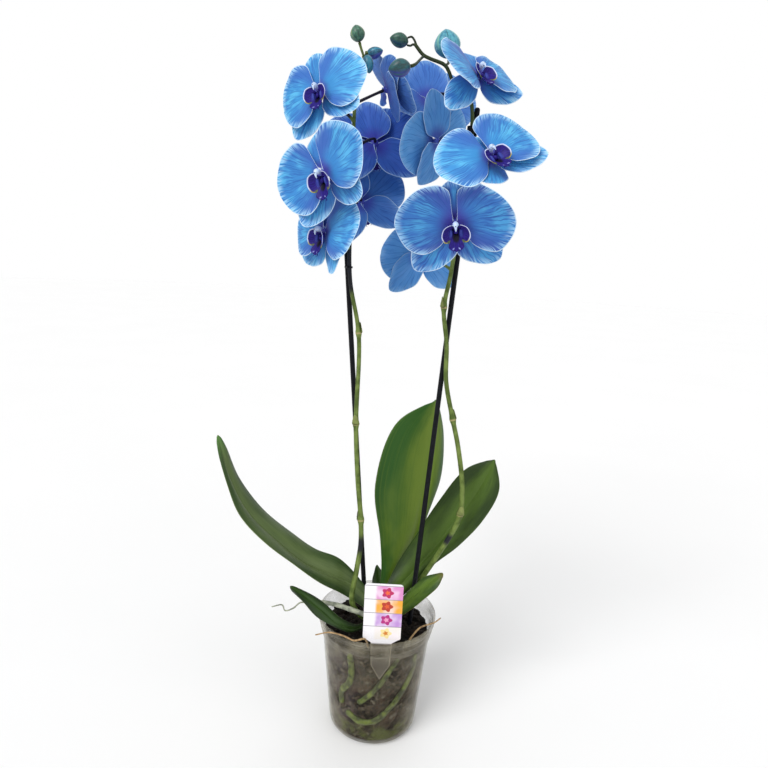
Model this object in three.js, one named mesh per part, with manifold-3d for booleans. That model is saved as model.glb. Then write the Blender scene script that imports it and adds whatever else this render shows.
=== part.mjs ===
// Moth orchid with two flower spikes, growing in bark in a clear nursery pot.
// Millimetres, +Z up, the front toward -Y. The origin is the middle of the pot's underside.
import * as THREE from 'three';
import { mergeVertices } from 'three/addons/utils/BufferGeometryUtils.js';
import Module from 'manifold-3d';

const wasm = await Module();
wasm.setup();

// Driving dimensions
const GAP = 0.3;
const POT_HEIGHT = 124.4;
const RIM_RADIUS = 60;
const POT_FLOOR_RADIUS = 45.4;
const POT_CORNER = 9;
const WALL = 1.3;
const BARK_TOP = 108;
const CHIPS = 16;
const TURNED_SIDES = 24;
const CROWN_RADIUS = 10;
const CROWN_TOP = 144;
const LEAF_THICKNESS = 1.7;
const PETAL_THICKNESS = 0.8;
const LIP_THICKNESS = 1.0;
const SPIKE_FOOT_RADIUS = 2.8;
const SPIKE_TIP_RADIUS = 1.5;
const PEDICEL_RADIUS = 1.2;
const STAKE_RADIUS = 2.5;
const TAG_WIDTH = 36;
const TAG_THICKNESS = 0.8;
const WELD = 1e-4;

const UP = new THREE.Vector3(0, 0, 1);

// Small helpers
const vec = (p) => new THREE.Vector3(...p);
const curveThrough = (points) => new THREE.CatmullRomCurve3(points.map(vec), false, 'centripetal');
const mix = (a, b, f) => a + (b - a) * f;

function seeded(seed) {
  let state = seed;
  return () => {
    state = (state * 16807) % 2147483647;
    return state / 2147483647;
  };
}

function solid(geometry) {
  const bare = new THREE.BufferGeometry();
  bare.setAttribute('position', geometry.getAttribute('position').clone());
  if (geometry.index) bare.setIndex(geometry.index.clone());
  const welded = mergeVertices(bare, WELD);
  const corners = welded.index.array;
  const faces = [];
  for (let i = 0; i < corners.length; i += 3) {
    const [a, b, c] = corners.slice(i, i + 3);
    if (a !== b && b !== c && c !== a) faces.push(a, b, c);
  }
  return new wasm.Manifold(new wasm.Mesh({
    numProp: 3,
    vertProperties: new Float32Array(welded.getAttribute('position').array),
    triVerts: new Uint32Array(faces),
  }));
}

function geometryOf(body) {
  const mesh = body.getMesh();
  const geometry = new THREE.BufferGeometry();
  geometry.setAttribute('position', new THREE.BufferAttribute(mesh.vertProperties, 3));
  geometry.setIndex(new THREE.BufferAttribute(mesh.triVerts, 1));
  geometry.computeVertexNormals();
  return geometry;
}

const fuse = (bodies) => bodies.reduce((joined, next) => joined.add(next));

function largestPiece(body) {
  const pieces = body.decompose();
  return pieces.reduce((best, next) => (next.volume() > best.volume() ? next : best));
}

// Share of a curve's length at which it comes nearest to a height
function shareAtHeight(curve, height) {
  let best = 0;
  let offset = Infinity;
  for (let i = 0; i <= 200; i += 1) {
    const here = Math.abs(curve.getPointAt(i / 200).z - height);
    if (here < offset) [best, offset] = [i / 200, here];
  }
  return best;
}

// Closed body from rings of points, each ring with the same number of points
function loft(rings) {
  const sides = rings[0].length;
  const positions = rings.flat().flatMap((p) => p.toArray());
  const faces = [];
  for (let row = 0; row + 1 < rings.length; row += 1) {
    for (let side = 0; side < sides; side += 1) {
      const a = row * sides + side;
      const b = row * sides + ((side + 1) % sides);
      faces.push(a, b, b + sides, a, b + sides, a + sides);
    }
  }
  const last = (rings.length - 1) * sides;
  for (let side = 1; side + 1 < sides; side += 1) {
    faces.push(0, side + 1, side, last, last + side, last + side + 1);
  }
  const geometry = new THREE.BufferGeometry();
  geometry.setAttribute('position', new THREE.Float32BufferAttribute(positions, 3));
  geometry.setIndex(faces);
  return geometry;
}

// Round rod along a curve, its radius a function of the way along it, grown all round by a margin
function rod(curve, radiusAt, sides, steps, grow = 0) {
  const frames = curve.computeFrenetFrames(steps, false);
  const rings = [];
  for (let i = 0; i <= steps; i += 1) {
    const beyond = (i === steps) - (i === 0);
    const centre = curve.getPointAt(i / steps).addScaledVector(frames.tangents[i], grow * beyond);
    const radius = radiusAt(i / steps) + grow / Math.cos(Math.PI / sides);
    const ring = [];
    for (let side = 0; side < sides; side += 1) {
      const turn = (side / sides) * 2 * Math.PI;
      ring.push(centre.clone()
        .addScaledVector(frames.normals[i], radius * Math.cos(turn))
        .addScaledVector(frames.binormals[i], radius * Math.sin(turn)));
    }
    rings.push(ring);
  }
  return loft(rings);
}

// Closed sheet round a middle surface, both faces split into triangles alike
function sheet(pointAt, rows, columns, thickness) {
  const step = 0.01;
  const front = [];
  const back = [];
  for (const s of rows) {
    for (const t of columns) {
      const along = pointAt(s + step, t).sub(pointAt(s - step, t));
      const across = pointAt(s, t + step).sub(pointAt(s, t - step));
      const out = along.cross(across).normalize().multiplyScalar(thickness / 2);
      front.push(pointAt(s, t).add(out));
      back.push(pointAt(s, t).sub(out));
    }
  }
  const wide = columns.length;
  const under = front.length;
  const faces = [];
  for (let row = 0; row + 1 < rows.length; row += 1) {
    for (let column = 0; column + 1 < wide; column += 1) {
      const a = row * wide + column;
      const [b, c, d] = [a + wide, a + wide + 1, a + 1];
      faces.push(a, b, c, a, c, d);
      faces.push(under + a, under + c, under + b, under + a, under + d, under + c);
    }
  }
  const border = [];
  for (let column = 0; column < wide; column += 1) border.push(column);
  for (let row = 1; row < rows.length; row += 1) border.push(row * wide + wide - 1);
  for (let column = wide - 2; column >= 0; column -= 1) border.push((rows.length - 1) * wide + column);
  for (let row = rows.length - 2; row > 0; row -= 1) border.push(row * wide);
  border.forEach((a, i) => {
    const b = border[(i + 1) % border.length];
    faces.push(a, b, under + b, a, under + b, under + a);
  });
  const geometry = new THREE.BufferGeometry();
  const positions = [...front, ...back].flatMap((p) => p.toArray());
  geometry.setAttribute('position', new THREE.Float32BufferAttribute(positions, 3));
  geometry.setIndex(faces);
  return geometry;
}

function egg(radii, centre, around = 10, high = 6) {
  return new THREE.SphereGeometry(1, around, high)
    .rotateX(Math.PI / 2)
    .scale(...radii)
    .translate(...centre);
}

// Pot: one turned wall with stepped rim, drain holes in its floor
const wallRadiusAt = (z) => mix(POT_FLOOR_RADIUS, 55, (z - POT_CORNER) / (104 - POT_CORNER));

function potProfile() {
  const floor = WALL + 0.2;
  const outside = [[0, 0], [POT_FLOOR_RADIUS - POT_CORNER, 0], [POT_FLOOR_RADIUS - 2.6, 2.6],
    [POT_FLOOR_RADIUS, POT_CORNER], [55, 104], [56.5, 105.5], [56.7, 110.5], [58.2, 112],
    [58.4, 117.5], [RIM_RADIUS, 119], [RIM_RADIUS, POT_HEIGHT]];
  const inside = [[RIM_RADIUS - 1.8, POT_HEIGHT], [RIM_RADIUS - 2, 120.4], [55.1, 110], [54.6, 106.4],
    [53.6, 104.6], [POT_FLOOR_RADIUS - WALL, POT_CORNER + 0.4],
    [POT_FLOOR_RADIUS - POT_CORNER, floor], [0, floor]];
  return [...outside, ...inside].map(([r, z]) => new THREE.Vector2(r, z));
}

function buildPot() {
  const turned = solid(new THREE.LatheGeometry(potProfile(), TURNED_SIDES).rotateX(Math.PI / 2));
  const holes = [];
  for (let i = 0; i < 8; i += 1) {
    const turn = ((i + 0.5) / 8) * 2 * Math.PI;
    const drill = new THREE.CylinderGeometry(3.2, 3.2, 8, 6).rotateX(Math.PI / 2);
    holes.push(solid(drill.translate(27 * Math.cos(turn), 27 * Math.sin(turn), 0)));
  }
  return turned.subtract(fuse(holes));
}

// Bark: fills the pot, chips stand out of its top
function buildBark(cutters) {
  const floor = WALL + 0.2 + GAP;
  const outline = [[0, floor], [POT_FLOOR_RADIUS - POT_CORNER - 0.4, floor],
    [POT_FLOOR_RADIUS - WALL - GAP, POT_CORNER + 1], [53, 104.2], [52.6, 107], [36, BARK_TOP],
    [0, BARK_TOP + 3]];
  const profile = outline.map(([r, z]) => new THREE.Vector2(r, z));
  const fill = solid(new THREE.LatheGeometry(profile, TURNED_SIDES).rotateX(Math.PI / 2));
  const random = seeded(41);
  const chips = [];
  for (let i = 0; i < CHIPS; i += 1) {
    const reach = 46 * Math.sqrt((i + 0.5) / CHIPS);
    const turn = i * 2.4;
    const chip = new THREE.BoxGeometry(mix(7, 14, random()), mix(5, 9, random()), mix(3, 6, random()));
    chip.rotateX(mix(-0.5, 0.5, random())).rotateY(mix(-0.5, 0.5, random())).rotateZ(random() * Math.PI);
    chip.translate(reach * Math.cos(turn), reach * Math.sin(turn), BARK_TOP + mix(0.5, 2.5, random()));
    chips.push(solid(chip));
  }
  return largestPiece(fuse([fill, ...chips]).subtract(fuse(cutters)));
}

// Crown: the short stem that carries the leaves and spikes
function buildCrown(grow = 0) {
  const curve = curveThrough([[0, 4, 76], [0, 4, 100], [1, 4, 124], [2, 5, CROWN_TOP]]);
  return solid(rod(curve, (f) => mix(CROWN_RADIUS, 6.5, f ** 2), 10, 4, grow));
}

// Leaves: each hangs between a far edge, a midrib and a near edge
const LEAVES = {
  leaf_left: {
    colour: 0x4d6b3a,
    arch: 2.5,
    left: [[-157, -32, 310], [-153, -36, 291], [-144, -42, 266], [-131, -47, 241], [-106, -48, 214],
      [-79, -42, 190], [-57, -28, 167], [-34, -6, 142], [-8, 0, 122]],
    middle: [[-156, -32, 312], [-152, -32, 296], [-143, -32, 266], [-127, -30, 235], [-99, -26, 205],
      [-74, -17, 179], [-50, -8, 164], [-27, 2, 149], [-5, 4, 128]],
    right: [[-155, -32, 314], [-149, -26, 299], [-139, -16, 265], [-118, -6, 230], [-87, -2, 204],
      [-65, 2, 187], [-43, 6, 177], [-25, 8, 160], [-5, 7, 134]],
  },
  leaf_upright: {
    colour: 0x5f7f2c,
    arch: 4,
    left: [[47, 39, 340], [9, 32, 315], [-9, 30, 248], [-1, 30, 189], [2, 29, 153], [1, 21, 131],
      [-1, 9, 120]],
    middle: [[49, 40, 341], [49, 43, 296], [45, 44, 241], [35, 40, 189], [22, 35, 155], [11, 26, 135],
      [3, 11, 120]],
    right: [[51, 41, 339], [61, 54, 299], [60, 56, 248], [45, 52, 205], [30, 43, 164], [19, 30, 137],
      [7, 12, 120]],
  },
  leaf_right: {
    colour: 0x2f5a26,
    arch: 2,
    left: [[108, 17, 288], [83, 25, 273], [57, 30, 233], [36, 31, 194], [19, 26, 165], [10, 17, 148],
      [4, 9, 132]],
    middle: [[110, 15, 288], [97, 16, 257], [79, 18, 224], [59, 19, 191], [39, 18, 164], [20, 14, 141],
      [6, 7, 124]],
    right: [[111, 15, 287], [115, 6, 259], [102, 5, 227], [80, 6, 198], [55, 11, 171], [28, 13, 136],
      [8, 6, 119]],
  },
  leaf_small_right: {
    colour: 0x4c7a30,
    arch: 1,
    left: [[62, -15, 178], [45, -8, 168], [33, -5, 153], [20, -2, 135], [6, 0, 122]],
    middle: [[63, -16, 178], [51, -14, 166], [38, -12, 151], [24, -7, 131], [5, -1, 116]],
    right: [[64, -17, 176], [57, -22, 164], [44, -20, 149], [26, -12, 127], [4, -2, 111]],
  },
  leaf_low_left: {
    colour: 0x3f6b2d,
    arch: 1,
    left: [[-84, -40, 165], [-72, -46, 157], [-56, -47, 141], [-40, -43, 130], [-26, -34, 119],
      [-8, -12, 113]],
    middle: [[-85, -38, 167], [-72, -40, 160], [-54, -42, 147], [-38, -42, 133], [-23, -31, 121],
      [-6, -7, 115]],
    right: [[-84, -37, 168], [-69, -34, 160], [-51, -35, 149], [-34, -36, 135], [-19, -26, 123],
      [-4, -3, 117]],
  },
  leaf_rear: {
    colour: 0x3d6529,
    arch: 0.5,
    left: [[-4, 42, 151], [-7, 33, 140], [-5, 22, 126], [-3, 10, 108]],
    middle: [[-3, 43, 152], [0, 36, 140], [1, 25, 126], [1, 11, 107]],
    right: [[-2, 42, 152], [7, 35, 142], [8, 24, 127], [5, 11, 108]],
  },
};

function leafPoint(leaf, s, t) {
  const along = THREE.MathUtils.clamp(s, 0, 1);
  const rib = leaf.curves.middle.getPoint(along);
  const edge = (t < 0 ? leaf.curves.left : leaf.curves.right).getPoint(along);
  const span = edge.clone().sub(rib);
  const tangent = leaf.curves.middle.getTangent(along);
  const out = tangent.cross(span).normalize().multiplyScalar(t < 0 ? -1 : 1);
  const bow = leaf.arch * 4 * Math.abs(t) * (1 - Math.abs(t)) * Math.sin(Math.PI * along);
  return rib.addScaledVector(span, Math.abs(t)).addScaledVector(out, bow);
}

function buildLeaf(leaf, grow = 0) {
  const curves = {
    left: curveThrough(leaf.left),
    middle: curveThrough(leaf.middle),
    right: curveThrough(leaf.right),
  };
  const rows = [];
  const count = leaf.middle.length + 2;
  for (let i = 0; i <= count; i += 1) rows.push(mix(0.012, 0.988, i / count));
  if (grow > 0) [rows[0], rows[count]] = [0.006, 0.994];
  const edge = 1 + 0.15 * grow;
  const point = (s, t) => leafPoint({ ...leaf, curves }, s, t);
  return solid(sheet(point, rows, [-edge, -0.55, 0, 0.55, edge], LEAF_THICKNESS + 2 * grow));
}

// Tepals in the bloom's own frame: +X to the right seen from its face, +Y up, +Z out of the face
const TEPALS = {
  rightPetal: { turn: 8, length: 50, half: [31, 27], flank: [[0.72, 0.5], [0.95, 0.62]], lift: 1.4 },
  leftPetal: { turn: 172, length: 50, half: [27, 31], flank: [[0.95, 0.62], [0.72, 0.5]], lift: 1.4 },
  topSepal: { turn: 90, length: 44, half: [16.5, 16.5], flank: [[0.85, 0.6], [0.85, 0.6]], lift: -1.8 },
  leftSepal: { turn: 228, length: 48, half: [17, 18], flank: [[0.85, 0.62], [0.8, 0.6]], lift: -2 },
  rightSepal: { turn: 312, length: 48, half: [18, 17], flank: [[0.8, 0.6], [0.85, 0.62]], lift: -3.2 },
};
const TEPAL_ROOT = 1.5;
const PETAL_GRID = { rows: [0.012, 0.14, 0.34, 0.6, 0.84, 0.985], columns: [-1, -0.5, 0.5, 1] };
const SEPAL_GRID = { rows: [0.012, 0.25, 0.52, 0.8, 0.985], columns: [-1, 0, 1] };

// Blooms: place, then [compass turn, tilt up, roll] of the face in degrees, and size. A tepal's
// bend is the slope at its root and tip in degrees, cup is how far its edges come forward.
const BLOOMS = [
  {
    name: 'left_1', at: [-69, -39, 610], face: [-25, 4, 14], size: 0.9,
    petal: { bend: [6, -28], cup: 1.2 }, sepal: { bend: [-2, -9], cup: 0.8 },
    own: {
      rightPetal: { turn: 2, bend: [8, -23], cup: 0.6, twist: -4, long: 0.96, broad: 0.98 },
      leftPetal: { turn: 7, bend: [3, -32], cup: 1.7, twist: 3, long: 0.97, broad: 0.96 },
      topSepal: { turn: 10, bend: [-2, -26], long: 0.95 },
      leftSepal: { turn: -7, long: 0.98, broad: 1.03 },
      rightSepal: { turn: 15, bend: [5, 8], twist: -7, long: 0.92 },
    },
  },
  {
    name: 'left_2', at: [-62, -53, 545], face: [-30, -19, 12], size: 1,
    petal: { bend: [3, 2], cup: 1.9 }, sepal: { bend: [-1, 25], cup: 0.9 },
    own: {
      rightPetal: { turn: 12, bend: [6, 0], cup: 1.2, twist: -13, broad: 0.97 },
      leftPetal: { turn: 13, bend: [0, 4], cup: 2.0, twist: 10 },
      topSepal: { turn: -10, bend: [-14, -45], twist: 6, long: 0.92, broad: 1.06 },
      leftSepal: { cup: 0, twist: -4, long: 1.02 },
      rightSepal: { turn: 16, bend: [6, 30], long: 0.95, broad: 1.02 },
    },
  },
  {
    name: 'left_3', at: [-63, -20, 500], face: [-48, -7, -6], size: 1.01,
    petal: { bend: [8, -15], cup: -0.3 }, sepal: { bend: [3, -5], cup: 1 },
    own: {
      rightPetal: { turn: 6, bend: [9, -8], twist: -18, broad: 1.02 },
      leftPetal: { turn: 2, bend: [6, -22], twist: 11, broad: 1.02 },
      topSepal: { bend: [-10, -40], long: 0.85 },
      leftSepal: { turn: -8, twist: -5 },
      rightSepal: { turn: 4, bend: [3, 42], long: 0.95 },
    },
  },
  {
    name: 'left_4', at: [-15, 6, 626], face: [101, 26, 31], size: 0.88,
    petal: { bend: [13, -1], cup: 2.5 }, sepal: { bend: [-1, -18], cup: 0.5 },
    own: {
      rightPetal: { bend: [12, -11], broad: 0.71 },
      leftPetal: { turn: 6, bend: [13, 6], twist: 6, broad: 0.86, long: 0.94 },
      topSepal: { turn: 38, bend: [2, 22], twist: 3 },
      leftSepal: { turn: -15, bend: [-6, -40], long: 0.5, broad: 0.8 },
      rightSepal: { turn: -2, twist: 7 },
    },
  },
  {
    name: 'left_5', at: [-26, 40, 585], face: [190, -21, -11], size: 1.04,
    petal: { bend: [3, -8], cup: -1.6 }, sepal: { bend: [4, 0], cup: -1.1 },
    own: {
      leftPetal: { turn: -2 },
      topSepal: { turn: 2, bend: [-1, 9], cup: -1.8, long: 0.96, broad: 1.11 },
      leftSepal: { turn: -4, twist: 3 },
      rightSepal: { turn: 11, twist: -6, long: 1.06, broad: 0.96 },
    },
  },
  {
    name: 'left_6', at: [-36, 37, 531], face: [181, -23, -25], size: 0.98,
    petal: { bend: [4, -2], cup: -1.7 }, sepal: { bend: [1, 1], cup: -1.5 },
    own: {
      rightPetal: { bend: [2, -7] },
      leftPetal: { turn: -7, bend: [6, 2], twist: -4, long: 0.97 },
      topSepal: { bend: [-2, -10] },
      leftSepal: { turn: 5, long: 0.98, broad: 0.92 },
      rightSepal: { turn: 5, long: 1.07, broad: 0.92 },
    },
  },
  {
    name: 'right_1', at: [61, -9, 637], face: [34, 28, -3], size: 0.98,
    petal: { bend: [18, -8], cup: -0.6 }, sepal: { bend: [-6, -11], cup: -2 },
    own: {
      rightPetal: { bend: [11, -21], cup: 0.3, twist: -14, long: 0.95, broad: 0.81 },
      leftPetal: { turn: 16, bend: [26, 5], cup: -1.4, twist: 10 },
      topSepal: { turn: -13, bend: [-6, -36], cup: 1, twist: -15 },
      leftSepal: { turn: -2, bend: [-11, -11], twist: 6, long: 0.98, broad: 0.77 },
      rightSepal: { turn: 38, bend: [-1, 14], twist: 9, long: 1.04, broad: 0.96 },
    },
  },
  {
    name: 'right_2', at: [71, -58, 563], face: [11, 30, 28], size: 0.98,
    petal: { bend: [10, -28], cup: 1.5 }, sepal: { bend: [5, 9], cup: 0 },
    own: {
      rightPetal: { turn: 9, bend: [10, -23], cup: 3.2, twist: -5, broad: 1.04 },
      leftPetal: { turn: -7, bend: [11, -33], cup: -0.2, twist: 4, long: 0.95 },
      topSepal: { turn: -3, bend: [-13, -36], twist: 4, long: 0.87 },
      leftSepal: { turn: -3, bend: [5, 18], long: 0.6, broad: 1.12 },
      rightSepal: { turn: 28, twist: -7, long: 1.05 },
    },
  },
  {
    name: 'right_3', at: [48, -48, 511], face: [-1, -29, 8], size: 1.03,
    petal: { bend: [8, 20], cup: 2.1 }, sepal: { bend: [8, 0], cup: 1.5 },
    own: {
      rightPetal: { turn: 5, bend: [13, 32], twist: -3, broad: 1.04 },
      leftPetal: { turn: -2, bend: [4, 8], cup: 1.6, long: 0.97, broad: 1.05 },
      topSepal: { turn: 3, bend: [4, 10], cup: 1, long: 0.83 },
      leftSepal: { twist: 5, long: 1.09, broad: 1.06 },
      rightSepal: { turn: 3, twist: -7, long: 1.03, broad: 1.1 },
    },
  },
  {
    name: 'right_4', at: [22, 63, 630], face: [202, -27, 13], size: 1.01,
    petal: { bend: [-4, -18], cup: -1.7 }, sepal: { bend: [-9, -12], cup: -1.6 },
    own: {
      rightPetal: { turn: 11, bend: [-3, -24], twist: 10, long: 0.78, broad: 0.93 },
      leftPetal: { turn: -2, bend: [-5, -13], twist: 11, broad: 1.03 },
      topSepal: { turn: -8, bend: [-10, 1], twist: -12, long: 0.98, broad: 1.27 },
      leftSepal: { bend: [-5, -12] },
      rightSepal: { turn: 5, bend: [-9, -17], twist: 4 },
    },
  },
  {
    name: 'right_5', at: [31, 18, 586], face: [227, 3, -22], size: 0.95,
    petal: { bend: [5, -5], cup: -1.1 }, sepal: { bend: [-7, 8], cup: -2 },
    own: {
      rightPetal: { turn: -5, twist: -3, broad: 0.97 },
      topSepal: { turn: 3, twist: -10, long: 1.04, broad: 1.03 },
      leftSepal: { bend: [-3, -11], cup: -1.5 },
      rightSepal: { bend: [-9, 29], long: 0.92 },
    },
  },
  {
    name: 'right_6', at: [28, 57, 485], face: [141, -14, -10], size: 1.05,
    petal: { bend: [1, -22], cup: -3.5 }, sepal: { bend: [-1, -7], cup: 1 },
    own: {
      rightPetal: { bend: [-1, -12] },
      leftPetal: { turn: -3, bend: [4, -33], long: 0.96 },
      leftSepal: { turn: -5, twist: 13, long: 1.07, broad: 0.95 },
      rightSepal: { turn: 3, twist: -3, long: 0.96 },
    },
  },
];

const flankWidth = (s, [reach, roundness]) => Math.max(Math.sin(Math.PI * s ** reach), 0) ** roundness;

function tepalPoint(tepal, form, s, t) {
  const along = THREE.MathUtils.clamp(s, 0.001, 0.999);
  const [rootSlope, tipSlope] = form.bend.map(THREE.MathUtils.degToRad);
  const length = tepal.length * form.long;
  const change = tipSlope - rootSlope || 1e-6;
  const reach = length * (Math.sin(rootSlope + change * along) - Math.sin(rootSlope)) / change;
  const rise = length * (Math.cos(rootSlope) - Math.cos(rootSlope + change * along)) / change;
  const side = t >= 0 ? 0 : 1;
  const neck = mix(0.3, 1, THREE.MathUtils.smoothstep(along, 0, 0.16));
  const width = t * neck * form.broad * tepal.half[side] * flankWidth(along, tepal.flank[side]);
  const cup = form.cup * t * t * Math.sqrt(Math.sin(Math.PI * along));
  const turn = THREE.MathUtils.degToRad(tepal.turn + form.turn);
  const twist = THREE.MathUtils.degToRad(form.twist);
  const outward = new THREE.Vector3(Math.cos(turn), Math.sin(turn), 0);
  const sideways = new THREE.Vector3(-Math.sin(turn), Math.cos(turn), 0);
  const across = sideways.clone().multiplyScalar(Math.cos(twist)).addScaledVector(UP, Math.sin(twist));
  const normal = sideways.multiplyScalar(-Math.sin(twist)).addScaledVector(UP, Math.cos(twist));
  return outward.multiplyScalar(TEPAL_ROOT + reach)
    .addScaledVector(UP, rise + tepal.lift)
    .addScaledVector(across, width)
    .addScaledVector(normal, cup);
}

function tepalForm(bloom, part) {
  const shared = part.endsWith('Petal') ? bloom.petal : bloom.sepal;
  return { turn: 0, twist: 0, long: 1, broad: 1, ...shared, ...bloom.own[part] };
}

// Middle of a bloom: the knob that the tepals spring from, with the column standing out of it
function buildHeart(grow = 0) {
  const column = new THREE.LineCurve3(vec([0, 0, 0]), vec([0, 3.4, 9]));
  const reach = 4 + 1.4 * grow;
  const knob = solid(egg([reach, reach, 3.4 + 1.4 * grow], [0, 0, -1], 5, 3));
  return knob.add(solid(rod(column, (f) => mix(2.2, 2.7, f), 5, 1, grow)));
}

function buildTepal(bloom, part, grow = 0) {
  const form = tepalForm(bloom, part);
  const { rows, columns } = part.endsWith('Petal') ? PETAL_GRID : SEPAL_GRID;
  const point = (s, t) => tepalPoint(TEPALS[part], form, s, t);
  const wider = columns.map((t) => t * (1 + 0.3 * grow));
  return solid(sheet(point, rows, wider, PETAL_THICKNESS / bloom.size + 2 * grow));
}

const buildTepals = (bloom) => fuse([buildHeart(),
  ...Object.keys(TEPALS).map((part) => buildTepal(bloom, part))]);

// Lip: a cup of two round side lobes, open at the top for the column, with the small middle lobe
// below. An outline entry holds an angle away from straight down in degrees, and how far out the rim is.
const LIP_OUTLINE = [[0, 15.2], [18, 10.6], [45, 11.4], [80, 11.8], [120, 10.8], [160, 7.8]];
const LIP_ROWS = [0, 0.45, 1];

function lipPoint(s, t) {
  const share = THREE.MathUtils.clamp(s, 0, 1);
  const turned = Math.min(Math.abs(t) * 160, 159.99);
  const place = LIP_OUTLINE.findIndex(([angle]) => angle > turned);
  const [[before, near], [after, far]] = LIP_OUTLINE.slice(place - 1, place + 1);
  const rim = mix(near, far, (turned - before) / (after - before));
  const out = rim * mix(0.12, 1, share);
  const angle = THREE.MathUtils.degToRad(Math.abs(t) * 160);
  const sunk = (1 - THREE.MathUtils.smoothstep(share, 0, 0.6)) ** 2;
  return new THREE.Vector3(out * Math.sin(angle) * Math.sign(t), mix(-4.5, -3, sunk) - out * Math.cos(angle),
    4.8 + 6.5 * (out / 12) ** 1.7 - 3.6 * sunk);
}

function buildLip(bloom) {
  const halves = LIP_OUTLINE.map(([angle]) => angle / 160);
  const columns = [...halves.slice(1).reverse().map((t) => -t), ...halves];
  const blade = solid(sheet(lipPoint, LIP_ROWS, columns, LIP_THICKNESS / bloom.size));
  const room = GAP / bloom.size;
  const tepals = Object.keys(TEPALS).map((part) => buildTepal(bloom, part, room));
  return largestPiece(blade.subtract(fuse([buildHeart(room), ...tepals])));
}

function bloomPlace(bloom) {
  const [turn, tilt, roll] = bloom.face.map(THREE.MathUtils.degToRad);
  const facing = new THREE.Vector3(Math.sin(turn) * Math.cos(tilt), -Math.cos(turn) * Math.cos(tilt),
    Math.sin(tilt));
  const upward = UP.clone().addScaledVector(facing, -facing.z).normalize();
  const right = upward.clone().cross(facing);
  const basis = new THREE.Matrix4().makeBasis(right, upward, facing);
  const quaternion = new THREE.Quaternion().setFromRotationMatrix(basis);
  quaternion.multiply(new THREE.Quaternion().setFromAxisAngle(UP, roll));
  return { position: vec(bloom.at), quaternion, facing };
}

// Buds: place, direction of the point, length and thickness, and where the stalk starts
const BUDS = [
  { name: 'left_1', at: [-43, 0, 668], point: [-0.3, -0.1, 1],
    long: 17, thick: 14.5, stalk: [-37, 0, 650] },
  { name: 'left_2', at: [-28, 6, 654.5], point: [1, -0.3, 0.25],
    long: 16, thick: 10, stalk: [-36, 0, 649] },
  { name: 'left_3', at: [-32, -13, 640], point: [0.2, -0.2, -1],
    long: 16, thick: 9.5, stalk: [-35, 0, 647] },
  { name: 'right_1', at: [36, 25, 670.5], point: [-0.2, -0.2, 1], long: 26, thick: 24, stalk: [34, 4, 646] },
  { name: 'right_2', at: [-6, 3, 665], point: [-1, -0.2, 0.1], long: 18, thick: 15, stalk: [9, 3, 660] },
  { name: 'right_3', at: [-5, -42, 630], point: [-0.8, -0.3, -0.4],
    long: 20, thick: 17, stalk: [15, 3, 653] },
];

function budGeometry(bud) {
  const profile = [];
  for (let i = 0; i <= 6; i += 1) {
    const s = i / 6;
    const radius = bud.thick / 2 * Math.sin(Math.PI * s ** 0.9) ** 0.64;
    profile.push(new THREE.Vector2(i === 0 || i === 6 ? 0 : radius, (s - 0.5) * bud.long));
  }
  const aim = new THREE.Quaternion().setFromUnitVectors(new THREE.Vector3(0, 1, 0),
    vec(bud.point).normalize());
  return new THREE.LatheGeometry(profile, 8).applyQuaternion(aim).translate(...bud.at);
}

// Spikes: the main stem, its node rings with a bract, and a stalk to every bloom and bud
const SPIKES = {
  left: {
    path: [[-7, -4, 114], [-19, -11, 126], [-26, -14, 141], [-23, -9, 170], [-20, -3, 197], [-21, 0, 221],
      [-26, 0, 265], [-30, 0, 320], [-31, 0, 408], [-41, 0, 458], [-43, 1, 503], [-42, -3, 550],
      [-43, -1, 602], [-41, 0, 636], [-36, 0, 648]],
    nodes: [222, 321, 409],
  },
  right: {
    path: [[8, 2, 118], [24, 6, 128], [38, 7.5, 148], [50, 3, 172], [60, -2, 194], [67, -4, 209],
      [76, -5, 232], [77, -4, 262], [70, -2, 304], [63, -1, 331], [54, -2, 368], [52, -2, 403],
      [47, -3, 437], [51, -3, 468], [57, 0, 535], [60, -1, 565], [61, -1, 592], [58, 1, 619],
      [50, 3, 628], [41, 3, 635], [38, 3, 641], [34, 3, 646.5], [20, 3, 651.5], [14.5, 3, 654], [7, 3, 662]],
    nodes: [236, 331, 437],
  },
};

// Place on the straight runs of a stem that lies nearest to a spot
function seatOn(centres, spot) {
  let best = centres[0];
  for (let i = 0; i + 1 < centres.length; i += 1) {
    const run = new THREE.Line3(centres[i], centres[i + 1]);
    const near = run.closestPointToPoint(spot, true, new THREE.Vector3());
    if (near.distanceTo(spot) < best.distanceTo(spot)) best = near;
  }
  return best;
}

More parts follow.
